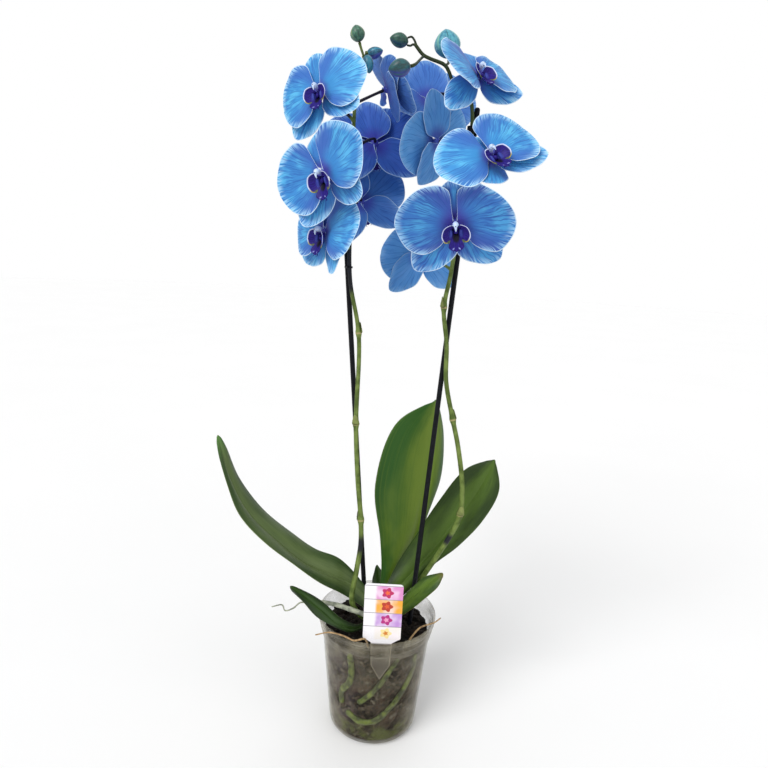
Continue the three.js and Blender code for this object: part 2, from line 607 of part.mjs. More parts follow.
function buildSpike(side, grow = 0) {
  const { path, nodes } = SPIKES[side];
  const curve = curveThrough(path);
  const steps = path.length + 9;
  const centres = curve.getSpacedPoints(steps);
  const bodies = [solid(rod(curve, (f) => mix(SPIKE_FOOT_RADIUS, SPIKE_TIP_RADIUS, f), 6, steps, grow))];
  for (const height of nodes) {
    const at = shareAtHeight(curve, height);
    const centre = curve.getPointAt(at);
    const way = curve.getTangentAt(at);
    const ring = new THREE.LineCurve3(
      centre.clone().addScaledVector(way, -4), centre.clone().addScaledVector(way, 7),
    );
    bodies.push(solid(rod(ring, (f) => mix(3.4, 2.9, f), 6, 1, grow)));
  }
  for (const bloom of BLOOMS.filter((b) => b.name.startsWith(side))) {
    const { position, facing } = bloomPlace(bloom);
    const end = position.clone().addScaledVector(facing, -(4.4 * bloom.size + GAP));
    const start = seatOn(centres, curve.getPointAt(shareAtHeight(curve, end.z - 14)));
    const away = end.clone().sub(start).setZ(0).normalize().addScaledVector(UP, 0.5);
    const stalk = new THREE.CubicBezierCurve3(
      start, start.clone().addScaledVector(away, 8), end.clone().addScaledVector(facing, -14), end,
    );
    bodies.push(solid(rod(stalk, (f) => mix(1.4, PEDICEL_RADIUS, f), 5, 4, grow)));
  }
  for (const bud of BUDS.filter((b) => b.name.startsWith(side))) {
    const aim = vec(bud.point).normalize();
    const end = vec(bud.at).addScaledVector(aim, -(bud.long / 2 + GAP));
    const start = seatOn(centres, vec(bud.stalk));
    const stalk = new THREE.CubicBezierCurve3(
      start, start.clone().lerp(end, 0.4), end.clone().addScaledVector(aim, -5), end,
    );
    bodies.push(solid(rod(stalk, () => 1.1, 5, 3, grow)));
  }
  return fuse(bodies);
}

// Stakes and the clips that hold the spikes to them
const STAKES = {
  left: [[-8, 17, 62], [-27, 12, 274], [-47, 7, 497]],
  right: [[31, 1, 62], [35, 1, 127], [49, 4, 356], [65, 4.5, 612]],
};
const CLIP_HEIGHTS = { left: 470, right: 594 };

function buildStake(side, grow = 0) {
  return solid(rod(curveThrough(STAKES[side]), () => STAKE_RADIUS, 8, STAKES[side].length, grow));
}

function buildClip(side, height, cutters) {
  const [stem, stake] = [SPIKES[side].path, STAKES[side]].map((points) => {
    const curve = curveThrough(points);
    return curve.getPointAt(shareAtHeight(curve, height));
  });
  const rings = [];
  for (const lift of [-3, 3]) {
    const axis = stake.clone().sub(stem).setZ(0);
    const across = new THREE.Vector3(-axis.y, axis.x, 0).normalize();
    const forward = axis.clone().normalize();
    const ring = [];
    for (let i = 0; i < 12; i += 1) {
      const turn = ((i + 0.5) / 12) * 2 * Math.PI;
      const middle = Math.cos(turn) < 0 ? stem : stake;
      ring.push(middle.clone().setZ(height + lift)
        .addScaledVector(forward, 4.2 * Math.cos(turn))
        .addScaledVector(across, 4.2 * Math.sin(turn)));
    }
    rings.push(ring);
  }
  return largestPiece(solid(loft(rings)).subtract(fuse(cutters)));
}

// Roots: thick air root, thin curled one, dry ones at the rim, and green ones along the wall
const wallPoint = (x, z) => {
  const reach = wallRadiusAt(z) - WALL - GAP - 2;
  return [x, -Math.sqrt(reach * reach - x * x), z];
};
const ROOTS = {
  root_air: {
    radius: [2.6, 2.3], colour: 0x8a917f,
    path: [[1, -4, 112], [-3, -16, 124], [-14, -23, 133], [-27, -21, 136], [-42, -10, 133.5],
      [-58, 3, 127.6]],
  },
  root_curled: {
    radius: [1.1, 0.6], colour: 0x9c948a,
    path: [[-36, -6, 104], [-48, -9, 116], [-60, -14, 130], [-76, -20, 140], [-84, -20, 133],
      [-92, -20, 130], [-95, -20, 136], [-105, -21, 134]],
  },
  root_dry_left: {
    radius: [1, 0.6], colour: 0xa08055,
    path: [[-6, -42, 105], [-8, -47, 117], [-11, -53, 125.6], [-20, -57, 126], [-32, -50, 126],
      [-45, -48, 127], [-57, -53, 127]],
  },
  root_dry_right: {
    radius: [1, 0.6], colour: 0xa08055,
    path: [[30, -30, 105], [36, -32, 118], [43, -30, 125.8], [52, -24, 126.2], [58, -20, 126.2],
      [64, -15, 128]],
  },
  root_wall_1: {
    radius: [1.9, 1.9], colour: 0x6f8a48,
    path: [wallPoint(-24, 101), wallPoint(-22, 85), wallPoint(-24, 69), wallPoint(-31, 55),
      wallPoint(-31, 42)],
  },
  root_wall_2: {
    radius: [1.9, 1.6], colour: 0x6f8a48,
    path: [wallPoint(-24, 32), wallPoint(-12, 27), wallPoint(2, 29), wallPoint(17, 43),
      wallPoint(29, 60), wallPoint(38, 79), wallPoint(40, 95)],
  },
  root_wall_3: {
    radius: [1.6, 1.4], colour: 0x6f8a48,
    path: [wallPoint(-13, 50), wallPoint(-2, 62), wallPoint(9, 78), wallPoint(22, 100)],
  },
};

function buildRoot(root, grow = 0) {
  const curve = curveThrough(root.path);
  return solid(rod(curve, (f) => mix(...root.radius, f), 5, root.path.length * 2 - 3, grow));
}

// Tag: a rounded card with a pointed foot, leaning a little to the front
function buildTag(grow = 0) {
  const half = TAG_WIDTH / 2 + grow;
  const outline = new THREE.Shape();
  outline.moveTo(0, 80 - grow);
  outline.lineTo(9 + grow, 96);
  outline.lineTo(10 + grow, 121);
  outline.lineTo(half - 2, 125 - grow);
  outline.quadraticCurveTo(half, 125 - grow, half, 127);
  outline.lineTo(half, 181);
  outline.quadraticCurveTo(half, 184 + grow, half - 3, 184 + grow);
  outline.lineTo(3 - half, 184 + grow);
  outline.quadraticCurveTo(-half, 184 + grow, -half, 181);
  outline.lineTo(-half, 127);
  outline.quadraticCurveTo(-half, 125 - grow, 2 - half, 125 - grow);
  outline.lineTo(-10 - grow, 121);
  outline.lineTo(-9 - grow, 96);
  const depth = TAG_THICKNESS + 2 * grow;
  const card = new THREE.ExtrudeGeometry(outline, { depth, bevelEnabled: false, curveSegments: 3 });
  card.translate(0, 0, -depth / 2).rotateX(Math.PI / 2);
  card.translate(0, 0, -80).rotateX(0.05).translate(5.5, -48.6, 80);
  return solid(card);
}

// Assembly
const plant = new THREE.Group();

function addPiece(parent, name, body, colour, roughness, metalness = 0) {
  const material = new THREE.MeshStandardMaterial({ color: colour, roughness, metalness });
  const mesh = new THREE.Mesh(geometryOf(body), material);
  mesh.name = name;
  parent.add(mesh);
  return mesh;
}

const grownCrown = buildCrown(GAP);
const crown = buildCrown();
const tag = buildTag();
const spikes = { left: buildSpike('left'), right: buildSpike('right') };
const roots = Object.fromEntries(Object.entries(ROOTS).map(([name, root]) => [name, buildRoot(root)]));
const grownRoots = Object.values(ROOTS).map((root) => buildRoot(root, GAP));

const inTheWay = [grownCrown, buildStake('left', GAP), buildStake('right', GAP)];
for (const side of ['left', 'right']) {
  const { path } = SPIKES[side];
  const foot = curveThrough(path.slice(0, 8));
  inTheWay.push(solid(rod(foot, () => SPIKE_FOOT_RADIUS, 6, 10, GAP + 0.1)));
}

addPiece(plant, 'pot', buildPot(), 0x9a9488, 0.25);
addPiece(plant, 'crown', crown, 0x6b7a3c, 0.7);
const leafBodies = [];
for (const [name, leaf] of Object.entries(LEAVES)) {
  const body = largestPiece(buildLeaf(leaf).subtract(fuse([...inTheWay, ...leafBodies])));
  leafBodies.push(buildLeaf(leaf, GAP + 0.1));
  addPiece(plant, name, body, leaf.colour, 0.45);
}
const barkCutters = [...inTheWay, ...leafBodies, ...grownRoots, buildTag(GAP)];
addPiece(plant, 'bark', buildBark(barkCutters), 0x2b211b, 0.95);
addPiece(plant, 'tag', tag, 0xf2eef0, 0.35);

for (const side of ['left', 'right']) {
  const spike = largestPiece(spikes[side].subtract(grownCrown));
  addPiece(plant, `spike_${side}`, spike, 0x5d7038, 0.5);
  addPiece(plant, `stake_${side}`, buildStake(side), 0x14161c, 0.4);
  const held = [buildSpike(side, GAP), buildStake(side, GAP)];
  addPiece(plant, `clip_${side}`, buildClip(side, CLIP_HEIGHTS[side], held), 0x1b1d22, 0.5);
}
for (const [name, body] of Object.entries(roots)) {
  addPiece(plant, name, largestPiece(body.subtract(grownCrown)), ROOTS[name].colour, 0.8);
}
for (const bloom of BLOOMS) {
  const { position, quaternion } = bloomPlace(bloom);
  const group = new THREE.Group();
  group.position.copy(position);
  group.quaternion.copy(quaternion);
  const tepals = addPiece(group, `bloom_${bloom.name}`, buildTepals(bloom), 0x2f78cf, 0.5);
  const lip = addPiece(group, `lip_${bloom.name}`, buildLip(bloom), 0x2a1c86, 0.45);
  for (const mesh of [tepals, lip]) mesh.geometry.scale(bloom.size, bloom.size, bloom.size);
  plant.add(group);
}
for (const bud of BUDS) addPiece(plant, `bud_${bud.name}`, solid(budGeometry(bud)), 0x2f6d72, 0.5);

export default plant;
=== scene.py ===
import math
import random

import bpy
import numpy as np
from mathutils import Matrix, Vector


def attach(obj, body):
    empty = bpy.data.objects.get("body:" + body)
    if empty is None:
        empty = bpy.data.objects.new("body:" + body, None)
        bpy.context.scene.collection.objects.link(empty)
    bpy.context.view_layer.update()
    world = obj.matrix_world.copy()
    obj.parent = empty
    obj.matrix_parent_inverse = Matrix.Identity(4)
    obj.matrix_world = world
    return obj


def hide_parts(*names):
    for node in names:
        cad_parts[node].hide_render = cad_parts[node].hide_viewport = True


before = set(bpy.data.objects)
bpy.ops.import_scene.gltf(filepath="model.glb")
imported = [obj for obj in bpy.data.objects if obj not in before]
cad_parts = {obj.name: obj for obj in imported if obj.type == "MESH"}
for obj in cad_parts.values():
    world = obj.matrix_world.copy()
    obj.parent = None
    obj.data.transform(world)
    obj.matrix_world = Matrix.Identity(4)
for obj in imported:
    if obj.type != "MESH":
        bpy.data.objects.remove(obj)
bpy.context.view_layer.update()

MM = 0.001
GAP = 0.3  # left between a stalk and its bloom or bud, and between a wall root and the wall
UP = np.array([0.0, 0.0, 1.0])
GOLDEN_TURN = 2.39996
ROUND_CAP, CAP_BULGE = (0.5, 1.0, 1.35), 0.8  # angles of the rings of a rounded tube end, and its length
FLAT_CAP = (0.97, 0.5, 0.1)  # shares of the radius of the rings of a flat tube end


# Numbers and curves, in millimetres
def mix(a, b, f):
    """The value a share f of the way from a to b."""
    return a + (b - a) * f


def smooth(x, low, high):
    """0 at low, 1 at high and a soft step between them."""
    f = np.clip((np.asarray(x, float) - low) / (high - low), 0, 1)
    return f * f * (3 - 2 * f)


def unit(v):
    """Vectors made one long."""
    v = np.asarray(v, float)
    return v / np.maximum(np.linalg.norm(v, axis=-1, keepdims=True), 1e-9)


def curve_at(points, shares):
    """Centripetal Catmull-Rom curve through points, at shares of its number of spans."""
    points = np.asarray(points, float)
    spans = len(points) - 1
    place = np.clip(np.asarray(shares, float), 0, 1) * spans
    index = np.minimum(place.astype(int), spans - 1)
    f = (place - index)[..., None]
    padded = np.vstack([2 * points[0] - points[1], points, 2 * points[-1] - points[-2]])
    p0, p1, p2, p3 = (padded[index + k] for k in range(4))
    d0, d1, d2 = (np.maximum(np.linalg.norm(b - a, axis=-1, keepdims=True), 1e-4) ** 0.5
                  for a, b in ((p0, p1), (p1, p2), (p2, p3)))
    m1 = ((p1 - p0) / d0 - (p2 - p0) / (d0 + d1) + (p2 - p1) / d1) * d1
    m2 = ((p2 - p1) / d1 - (p3 - p1) / (d1 + d2) + (p3 - p2) / d2) * d1
    return p1 + m1 * f + (-3 * p1 + 3 * p2 - 2 * m1 - m2) * f ** 2 + (2 * p1 - 2 * p2 + m1 + m2) * f ** 3


def even(points, count):
    """Points spread evenly along a polyline."""
    points = np.asarray(points, float)
    along = np.concatenate([[0], np.cumsum(np.linalg.norm(np.diff(points, axis=0), axis=1))])
    wanted = np.linspace(0, along[-1], count)
    return np.stack([np.interp(wanted, along, points[:, k]) for k in range(3)], axis=1)


def through(points, count):
    """Smooth path through points, as count points spread evenly along it."""
    return even(curve_at(points, np.linspace(0, 1, 40 * len(points))), count)


def bezier(a, b, c, d, count):
    """Points along a curve from a to d that leaves towards b and comes in from c."""
    f = np.linspace(0, 1, count)[:, None]
    return a * (1 - f) ** 3 + 3 * b * f * (1 - f) ** 2 + 3 * c * f ** 2 * (1 - f) + d * f ** 3


def at_height(path, height):
    """Index of the point of a path nearest a height."""
    return int(np.argmin(np.abs(path[:, 2] - height)))


# Meshes
class Shape:
    """Collects points in millimetres, faces and named numbers per point, for one mesh."""

    def __init__(self, *keys):
        self.points, self.faces, self.count = [], [], 0
        self.numbers = {key: [] for key in keys}

    def add(self, points, faces, **numbers):
        points = np.asarray(points, float).reshape(-1, 3)
        self.points.append(points)
        self.faces += [[corner + self.count for corner in face] for face in faces]
        for key, values in self.numbers.items():
            values.append(np.broadcast_to(np.asarray(numbers.get(key, 0), float).reshape(-1), (len(points),)))
        self.count += len(points)

    def piece(self, name, slot, material, *nodes, flat=False):
        """Makes the object, in metres, riding on the root in place of the CAD nodes named."""
        mesh = bpy.data.meshes.new(name)
        mesh.from_pydata((np.vstack(self.points) * MM).tolist(), [], self.faces)
        for key, values in self.numbers.items():
            data = mesh.attributes.new(key, "FLOAT", "POINT").data
            data.foreach_set("value", np.concatenate(values).astype(np.float32))
        mesh.materials.append(material)
        if not flat:
            mesh.shade_smooth()
        mesh.update()
        piece = bpy.data.objects.new(name, mesh)
        bpy.context.scene.collection.objects.link(piece)
        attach(piece, "root")
        if nodes:
            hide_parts(*nodes)


def closed_sheet(middle, thickness):
    """Thin closed body round a grid of points, both faces sharing their border.

    Returns its points, faces, and for each point its place in the grid and 1 on the front,
    0 on the back or 0.5 on the border."""
    rows, columns = middle.shape[:2]
    along = np.gradient(middle, axis=0)
    across = np.gradient(middle, axis=1)
    out = unit(np.cross(along, across))
    half = out * np.asarray(thickness)[..., None] / 2
    front = np.arange(rows * columns).reshape(rows, columns)
    back = front.copy()
    inner = (rows - 2) * (columns - 2)
    back[1:-1, 1:-1] = rows * columns + np.arange(inner).reshape(rows - 2, columns - 2)
    border = np.ones((rows, columns), bool)
    border[1:-1, 1:-1] = False
    upper = np.where(border[..., None], middle, middle + half)
    lower = (middle - half)[1:-1, 1:-1]
    faces = []
    for i in range(rows - 1):
        for j in range(columns - 1):
            faces.append((front[i, j], front[i + 1, j], front[i + 1, j + 1], front[i, j + 1]))
            faces.append((back[i, j], back[i, j + 1], back[i + 1, j + 1], back[i + 1, j]))
    grid = np.arange(rows * columns).reshape(rows, columns)
    place = np.concatenate([grid.ravel(), grid[1:-1, 1:-1].ravel()])
    side = np.concatenate([np.where(border, 0.5, 1.0).ravel(), np.zeros(inner)])
    return np.vstack([upper.reshape(-1, 3), lower.reshape(-1, 3)]), faces, place, side


def frames_along(path):
    """Tangents and two crosswise directions along a path, turning as little as they can."""
    tangents = unit(np.gradient(path, axis=0))
    first = np.cross(tangents[0], [0.3, 0.2, 1.0] if abs(tangents[0][2]) < 0.8 else [1.0, 0.2, 0.1])
    normals = [unit(first)]
    for tangent in tangents[1:]:
        last = normals[-1]
        normals.append(unit(last - tangent * last.dot(tangent)))
    normals = np.array(normals)
    return tangents, normals, np.cross(tangents, normals)


def ring_faces(rows, sides, capped=True):
    """Faces between rings of points, and one over each end, or else from the last ring to the first."""
    faces = []
    for row in range(rows - capped):
        after = (row + 1) % rows
        for k in range(sides):
            turned = (k + 1) % sides
            faces.append((row * sides + k, row * sides + turned, after * sides + turned, after * sides + k))
    if capped:
        faces += [tuple(range(sides))[::-1], tuple(range((rows - 1) * sides, rows * sides))]
    return faces


def tube(path, radii, sides=12, round_ends=(True, True)):
    """Closed round tube along a path. Returns points, faces, share along and angle per point."""
    path = np.asarray(path, float)
    radii = np.broadcast_to(np.asarray(radii, float), (len(path),)).copy()
    shares = np.linspace(0, 1, len(path))
    tangents, normals, binormals = frames_along(path)
    rings = [(path[i], radii[i], i, shares[i]) for i in range(len(path))]
    for end, turn in ((0, -1), (len(path) - 1, 1)):
        if round_ends[end > 0]:
            caps = [(path[end] + tangents[end] * turn * radii[end] * CAP_BULGE * math.sin(a),
                     radii[end] * math.cos(a), end, shares[end]) for a in ROUND_CAP]
        else:
            caps = [(path[end], radii[end] * f, end, shares[end]) for f in FLAT_CAP]
        rings = rings + caps if turn > 0 else caps[::-1] + rings
    turns = np.arange(sides) / sides * 2 * np.pi
    points, places, angles = [], [], []
    for centre, radius, i, share in rings:
        ring = centre + radius * (np.outer(np.cos(turns), normals[i]) + np.outer(np.sin(turns), binormals[i]))
        points.append(ring)
        places += [share] * sides
        angles += list(turns)
    return np.vstack(points), ring_faces(len(rings), sides), np.array(places), np.array(angles)


def lathe(profile, sides):
    """Closed turned body from (radius, height) pairs that start and end on the axis."""
    turns = np.arange(sides) / sides * 2 * np.pi
    points, starts = [], []
    for radius, height in profile:
        starts.append(len(points))
        if radius < 1e-6:
            points.append((0.0, 0.0, height))
        else:
            points += [(radius * math.cos(a), radius * math.sin(a), height) for a in turns]
    faces = []
    for (r0, _), (r1, _), a, b in zip(profile, profile[1:], starts, starts[1:]):
        for side in range(sides):
            after = (side + 1) % sides
            if r0 < 1e-6 and r1 >= 1e-6:
                faces.append((a, b + after, b + side))
            elif r1 < 1e-6 and r0 >= 1e-6:
                faces.append((a + side, a + after, b))
            elif r0 >= 1e-6:
                faces.append((a + side, a + after, b + after, b + side))
    return np.array(points), faces


# Materials
def paint(colour):
    """Linear colour from a hex triple."""
    parts = [int(colour[i:i + 2], 16) / 255 for i in (0, 2, 4)]
    return tuple(c / 12.92 if c <= 0.04045 else ((c + 0.055) / 1.055) ** 2.4 for c in parts) + (1.0,)


class Finish:
    """A material with short names for its nodes. An input is a number, a colour or another node's output."""

    def __init__(self, name, **fixed):
        self.material = bpy.data.materials.new(name)
        self.material.use_nodes = True
        self.tree = self.material.node_tree
        self.shader = self.tree.nodes["Principled BSDF"]
        for key, value in fixed.items():
            self.shader.inputs[key.replace("_", " ")].default_value = value

    def join(self, socket, value):
        if isinstance(value, bpy.types.NodeSocket):
            self.tree.links.new(value, socket)
        elif isinstance(value, str):
            socket.default_value = paint(value)
        else:
            socket.default_value = value

    def node(self, kind, inputs=(), output=0, **settings):
        made = self.tree.nodes.new(kind)
        for key, value in settings.items():
            setattr(made, key, value)
        for key, value in dict(inputs).items():
            if value is not None:
                self.join(made.inputs[key], value)
        return made.outputs[output]

    def value(self, key):
        return self.node("ShaderNodeAttribute", output="Fac", attribute_name=key)

    def maths(self, operation, a, b=None):
        return self.node("ShaderNodeMath", {0: a, 1: b}, operation=operation)

    def times(self, a, b):
        return self.maths("MULTIPLY", a, b)

    def plus(self, a, b):
        return self.maths("ADD", a, b)

    def fade(self, value, low, high, start=0.0, end=1.0):
        """From start, where the value is low, to end, where it is high."""
        inputs = {"Value": value, "From Min": low, "From Max": high, "To Min": start, "To Max": end}
        return self.node("ShaderNodeMapRange", inputs, interpolation_type="SMOOTHSTEP")

    def blend(self, factor, a, b):
        """Colour a where the factor is 0, colour b where it is 1."""
        return self.node("ShaderNodeMix", {0: factor, 6: a, 7: b}, 2, data_type="RGBA")

    def stack(self, colour, *layers):
        """A colour under others. A layer is (factor, colour), or (value, low, high, most, colour) to fade it in."""
        for *factor, over in layers:
            share = factor[0] if len(factor) == 1 else self.fade(*factor[:3], 0.0, factor[3])
            colour = self.blend(share, colour, over)
        return colour

    def place(self, x, y, z=0.0):
        return self.node("ShaderNodeCombineXYZ", {0: x, 1: y, 2: z})

    def position(self):
        return self.node("ShaderNodeTexCoord", output="Object")

    def noise(self, vector, scale, detail=2.0, roughness=0.5):
        inputs = {"Vector": vector, "Scale": scale, "Detail": detail, "Roughness": roughness}
        return self.node("ShaderNodeTexNoise", inputs)

    def cells(self, vector, scale, output="Distance", feature="F1"):
        return self.node("ShaderNodeTexVoronoi", {"Vector": vector, "Scale": scale}, output, feature=feature)

    def colour(self, value):
        self.join(self.shader.inputs["Base Color"], value)

    def rough(self, value):
        self.join(self.shader.inputs["Roughness"], value)

    def bump(self, height, strength, distance):
        made = self.node("ShaderNodeBump", {"Height": height, "Strength": strength, "Distance": distance})
        self.join(self.shader.inputs["Normal"], made)


def petal_finish():
    """Dyed petals: veins fanning out, cyan patches, a violet heart, a feathered pale edge and rim, duller rears."""
    f = Finish("petal", Sheen_Weight=0.05, Specular_IOR_Level=0.2)
    fan, reach, edge, tint, seed = (f.value(key) for key in ("fan", "reach", "edge", "tint", "seed"))

    def streaks(across, along, *detail):
        return f.noise(f.place(across, f.times(reach, along), seed), 1.0, *detail)

    def tinted(pale, deep):
        return f.blend(tint, pale, deep)

    course = f.plus(fan, f.times(streaks(f.times(fan, 2.5), 0.06, 2.0), 0.16))
    veins = streaks(f.times(course, 30.0), 0.05, 2.0, 0.6)
    hairs = streaks(f.times(course, 46.0), 0.07, 1.0)
    cloud = streaks(f.times(fan, 4.0), 0.05, 2.0, 0.55)
    sweep = streaks(f.times(fan, 1.6), 0.03, 1.0)
    flank = f.fade(f.plus(f.maths("ABSOLUTE", fan), sweep), 0.75, 1.35)
    bright = f.times(f.fade(f.plus(cloud, f.times(veins, 0.5)), 0.66, 0.92), f.fade(flank, 1.0, 0.35))
    patch = f.times(f.times(f.fade(reach, 13, 28), f.fade(reach, 56, 42)), bright)
    lines = f.times(f.fade(veins, 0.48, 0.38), f.fade(reach, 8, 26, 0.2, 0.7))
    ribs = f.maths("ABSOLUTE", f.maths("SINE", f.times(f.plus(course, f.times(veins, 0.05)), 21.0)))
    threads = f.times(f.times(f.fade(ribs, 0.24, 0.04), f.fade(reach, 9, 22)), f.fade(edge, 0.8, 4.0))
    feather = f.times(f.times(f.fade(edge, 7.5, 0.6), f.fade(reach, 20, 36)), f.fade(hairs, 0.38, 0.58))
    face = f.stack(tinted("3d94d2", "386abc"), (flank, tinted("3c72c0", "3a49a2")),
                   (f.times(patch, 0.7), tinted("66c6ee", "4a9ed8")), (lines, tinted("3374bc", "2b50a0")),
                   (f.times(threads, 0.75), tinted("2a64b0", "264496")),
                   (reach, f.fade(tint, 0, 1, 12, 19), 3, 0.9, "463aa0"),
                   (f.times(feather, 0.85), tinted("b0def8", "9cc8f0")), (edge, 0.95, 0.4, 0.9, "d8ecfc"))
    rear = f.stack(tinted("5fa6e2", "3560b6"), (veins, 0.5, 0.34, 0.55, tinted("4482cc", "2a4a9e")),
                   (f.times(threads, 0.7), tinted("3270c0", "1f388a")),
                   (cloud, 0.45, 0.7, 0.3, tinted("86c2f2", "4e74cc")), (reach, 18, 5, 0.75, "3a36a0"),
                   (f.times(feather, 0.4), "a2cef0"), (edge, 0.9, 0.4, 0.85, "b4d4f4"))
    f.colour(f.blend(f.value("front"), rear, face))
    f.rough(f.fade(veins, 0.35, 0.65, 0.5, 0.62))
    f.bump(veins, 0.4, 0.0004)
    return f.material


def lip_finish():
    """Lip: indigo lobes with a fine white rim that yellows below, paler calluses and a near-black throat."""
    f = Finish("lip", Roughness=0.5, Specular_IOR_Level=0.2)
    rim, low, throat, callus, mark = (f.value(key) for key in ("rim", "low", "throat", "callus", "mark"))
    grain = f.noise(f.place(f.times(f.value("fan"), 9.0), f.times(rim, 0.35), 0.0), 1.0, 3.0)
    pale = f.blend(f.fade(low, 0.1, 0.75), "d2daf8", "a89c30")
    f.colour(f.stack("1a0f66", (grain, 0.35, 0.7, 1.0, "2b1c86"), (callus, 0.3, 0.9, 0.8, "3c4aa4"),
                     (throat, 0.35, 0.85, 1.0, "0e0a22"), (mark, 0.3, 0.8, 1.0, "9aa4e0"),
                     (low, 0.75, 1.0, 0.8, "5d6a2a"), (rim, 1.0, 0.4, 1.0, pale)))
    f.bump(grain, 0.3, 0.0003)
    return f.material


def column_finish():
    """Column: violet foot, pale bluish tip with a dark dot."""
    f = Finish("column", Roughness=0.35, Sheen_Weight=0.1)
    f.colour(f.stack("4a3ca6", (f.value("tip"), 0.35, 0.75, 1.0, "cadcf6"),
                     (f.noise(f.position(), 900.0, 2.0), 0.4, 0.7, 0.4, "98b4e4"),
                     (f.value("dot"), 0.3, 0.8, 1.0, "2a2c50")))
    return f.material


def bud_finish(name, dark, light, under, stripe):
    """Bud: mottled, with dark seams, another colour beneath and a paler stripe towards the point."""
    f = Finish(name, Roughness=0.4, Sheen_Weight=0.15)
    along = f.value("along")
    mottle = f.noise(f.position(), 300.0, 4.0, 0.6)
    fine = f.noise(f.place(f.times(f.value("turn"), 5.0), f.times(along, 1.5)), 1.0, 2.0)
    striped = f.times(f.fade(f.value("stripe"), 0.4, 0.9), f.fade(along, 0.1, 0.8))
    f.colour(f.stack(dark, (f.plus(mottle, f.times(fine, 0.6)), 0.62, 0.98, 1.0, light),
                     (f.plus(f.value("under"), f.times(mottle, 0.3)), 0.4, 0.95, 1.0, under), (striped, stripe),
                     (along, 0.16, 0.0, 1.0, "2c3a26"), (f.value("seam"), 0.5, 1.0, 0.85, "0e2c30")))
    f.bump(mottle, 0.3, 0.0004)
    return f.material


def stem_finish():
    """Flower stems: olive green with fine length lines, pale rings, dye stains, painted shade where the left stem
    passes the stake, and dark flower stalks.
    """
    f = Finish("stem", Roughness=0.5, Specular_IOR_Level=0.25)
    lines = f.noise(f.place(f.times(f.value("turn"), 4.0), f.times(f.value("along"), 0.02)), 1.0, 3.0)
    dusk = f.blend(f.fade(lines, 0.45, 0.65), "1c2418", "3c4a26")
    f.colour(f.stack("46581f", (f.noise(f.position(), 120.0, 3.0), 0.35, 0.65, 1.0, "6b7d3c"),
                     (lines, 0.52, 0.74, 0.5, "8b9a5a"), (f.value("fork"), dusk),
                     # the stain colour also paints the shade where the left stem passes the stake
                     (f.value("dark"), 0.25, 0.85, 1.0, "120c22"), (f.value("stain"), 0.25, 0.9, 1.0, "1c1d22"),
                     (f.value("ring"), 0.4, 0.9, 0.8, "a79a6c")))
    f.bump(lines, 0.25, 0.0004)
    return f.material


def leaf_finish(name, dark, light, rib, rim, gloss, tip):
    """A leaf: soft mottle, fine parallel lines, a pale midrib groove, rim and a few specks."""
    f = Finish(name, Specular_IOR_Level=0.25, Coat_Weight=gloss, Coat_Roughness=0.28)
    across, along = f.value("across"), f.value("along")
    lines = f.noise(f.place(f.times(across, 34.0), f.times(along, 1.6)), 1.0, 2.0, 0.6)
    cloud = f.noise(f.place(f.times(across, 1.3), f.times(along, 3.0)), 1.0, 3.0, 0.6)
    flank = f.maths("ABSOLUTE", across)
    body = f.stack(light, (f.plus(cloud, f.times(flank, 0.5)), 0.5, 1.0, 1.0, dark), (lines, 0.5, 0.7, 0.25, light),
                   (lines, 0.45, 0.3, 0.3, dark), (flank, 0.05, 0.0, 0.75, rib))
    if tip:
        body = f.stack(body, (f.plus(along, f.times(cloud, 0.1)), 0.22, 0.02, 0.8, tip))
    rear = f.times(f.maths("SUBTRACT", 1.0, f.value("front")), 0.35)
    f.colour(f.stack(body, (flank, 0.965, 1.0, 0.9, rim), (f.cells(f.position(), 190.0), 0.12, 0.03, 0.5, dark),
                     (rear, light)))
    f.rough(f.fade(cloud, 0.3, 0.7, 0.38, 0.52))
    f.bump(lines, 0.35, 0.0005)
    return f.material


def crown_finish():
    """Crown: mottled green bands."""
    f = Finish("crown", Roughness=0.6)
    bands = f.noise(f.position(), 60.0, 4.0, 0.6)
    f.colour(f.blend(f.fade(bands, 0.35, 0.65), "3f4f22", "7f8a4a"))
    f.bump(bands, 0.4, 0.001)
    return f.material


def root_finish(name, dark, light, scale):
    """Roots: two tones and a rough skin."""
    f = Finish(name, Roughness=0.75, Sheen_Weight=0.1)
    grain = f.noise(f.position(), scale, 4.0, 0.65)
    f.colour(f.blend(f.fade(grain, 0.36, 0.64), dark, light))
    f.bump(grain, 0.5, 0.0006)
    return f.material


BARK_CELLS = 310.0  # chips per metre


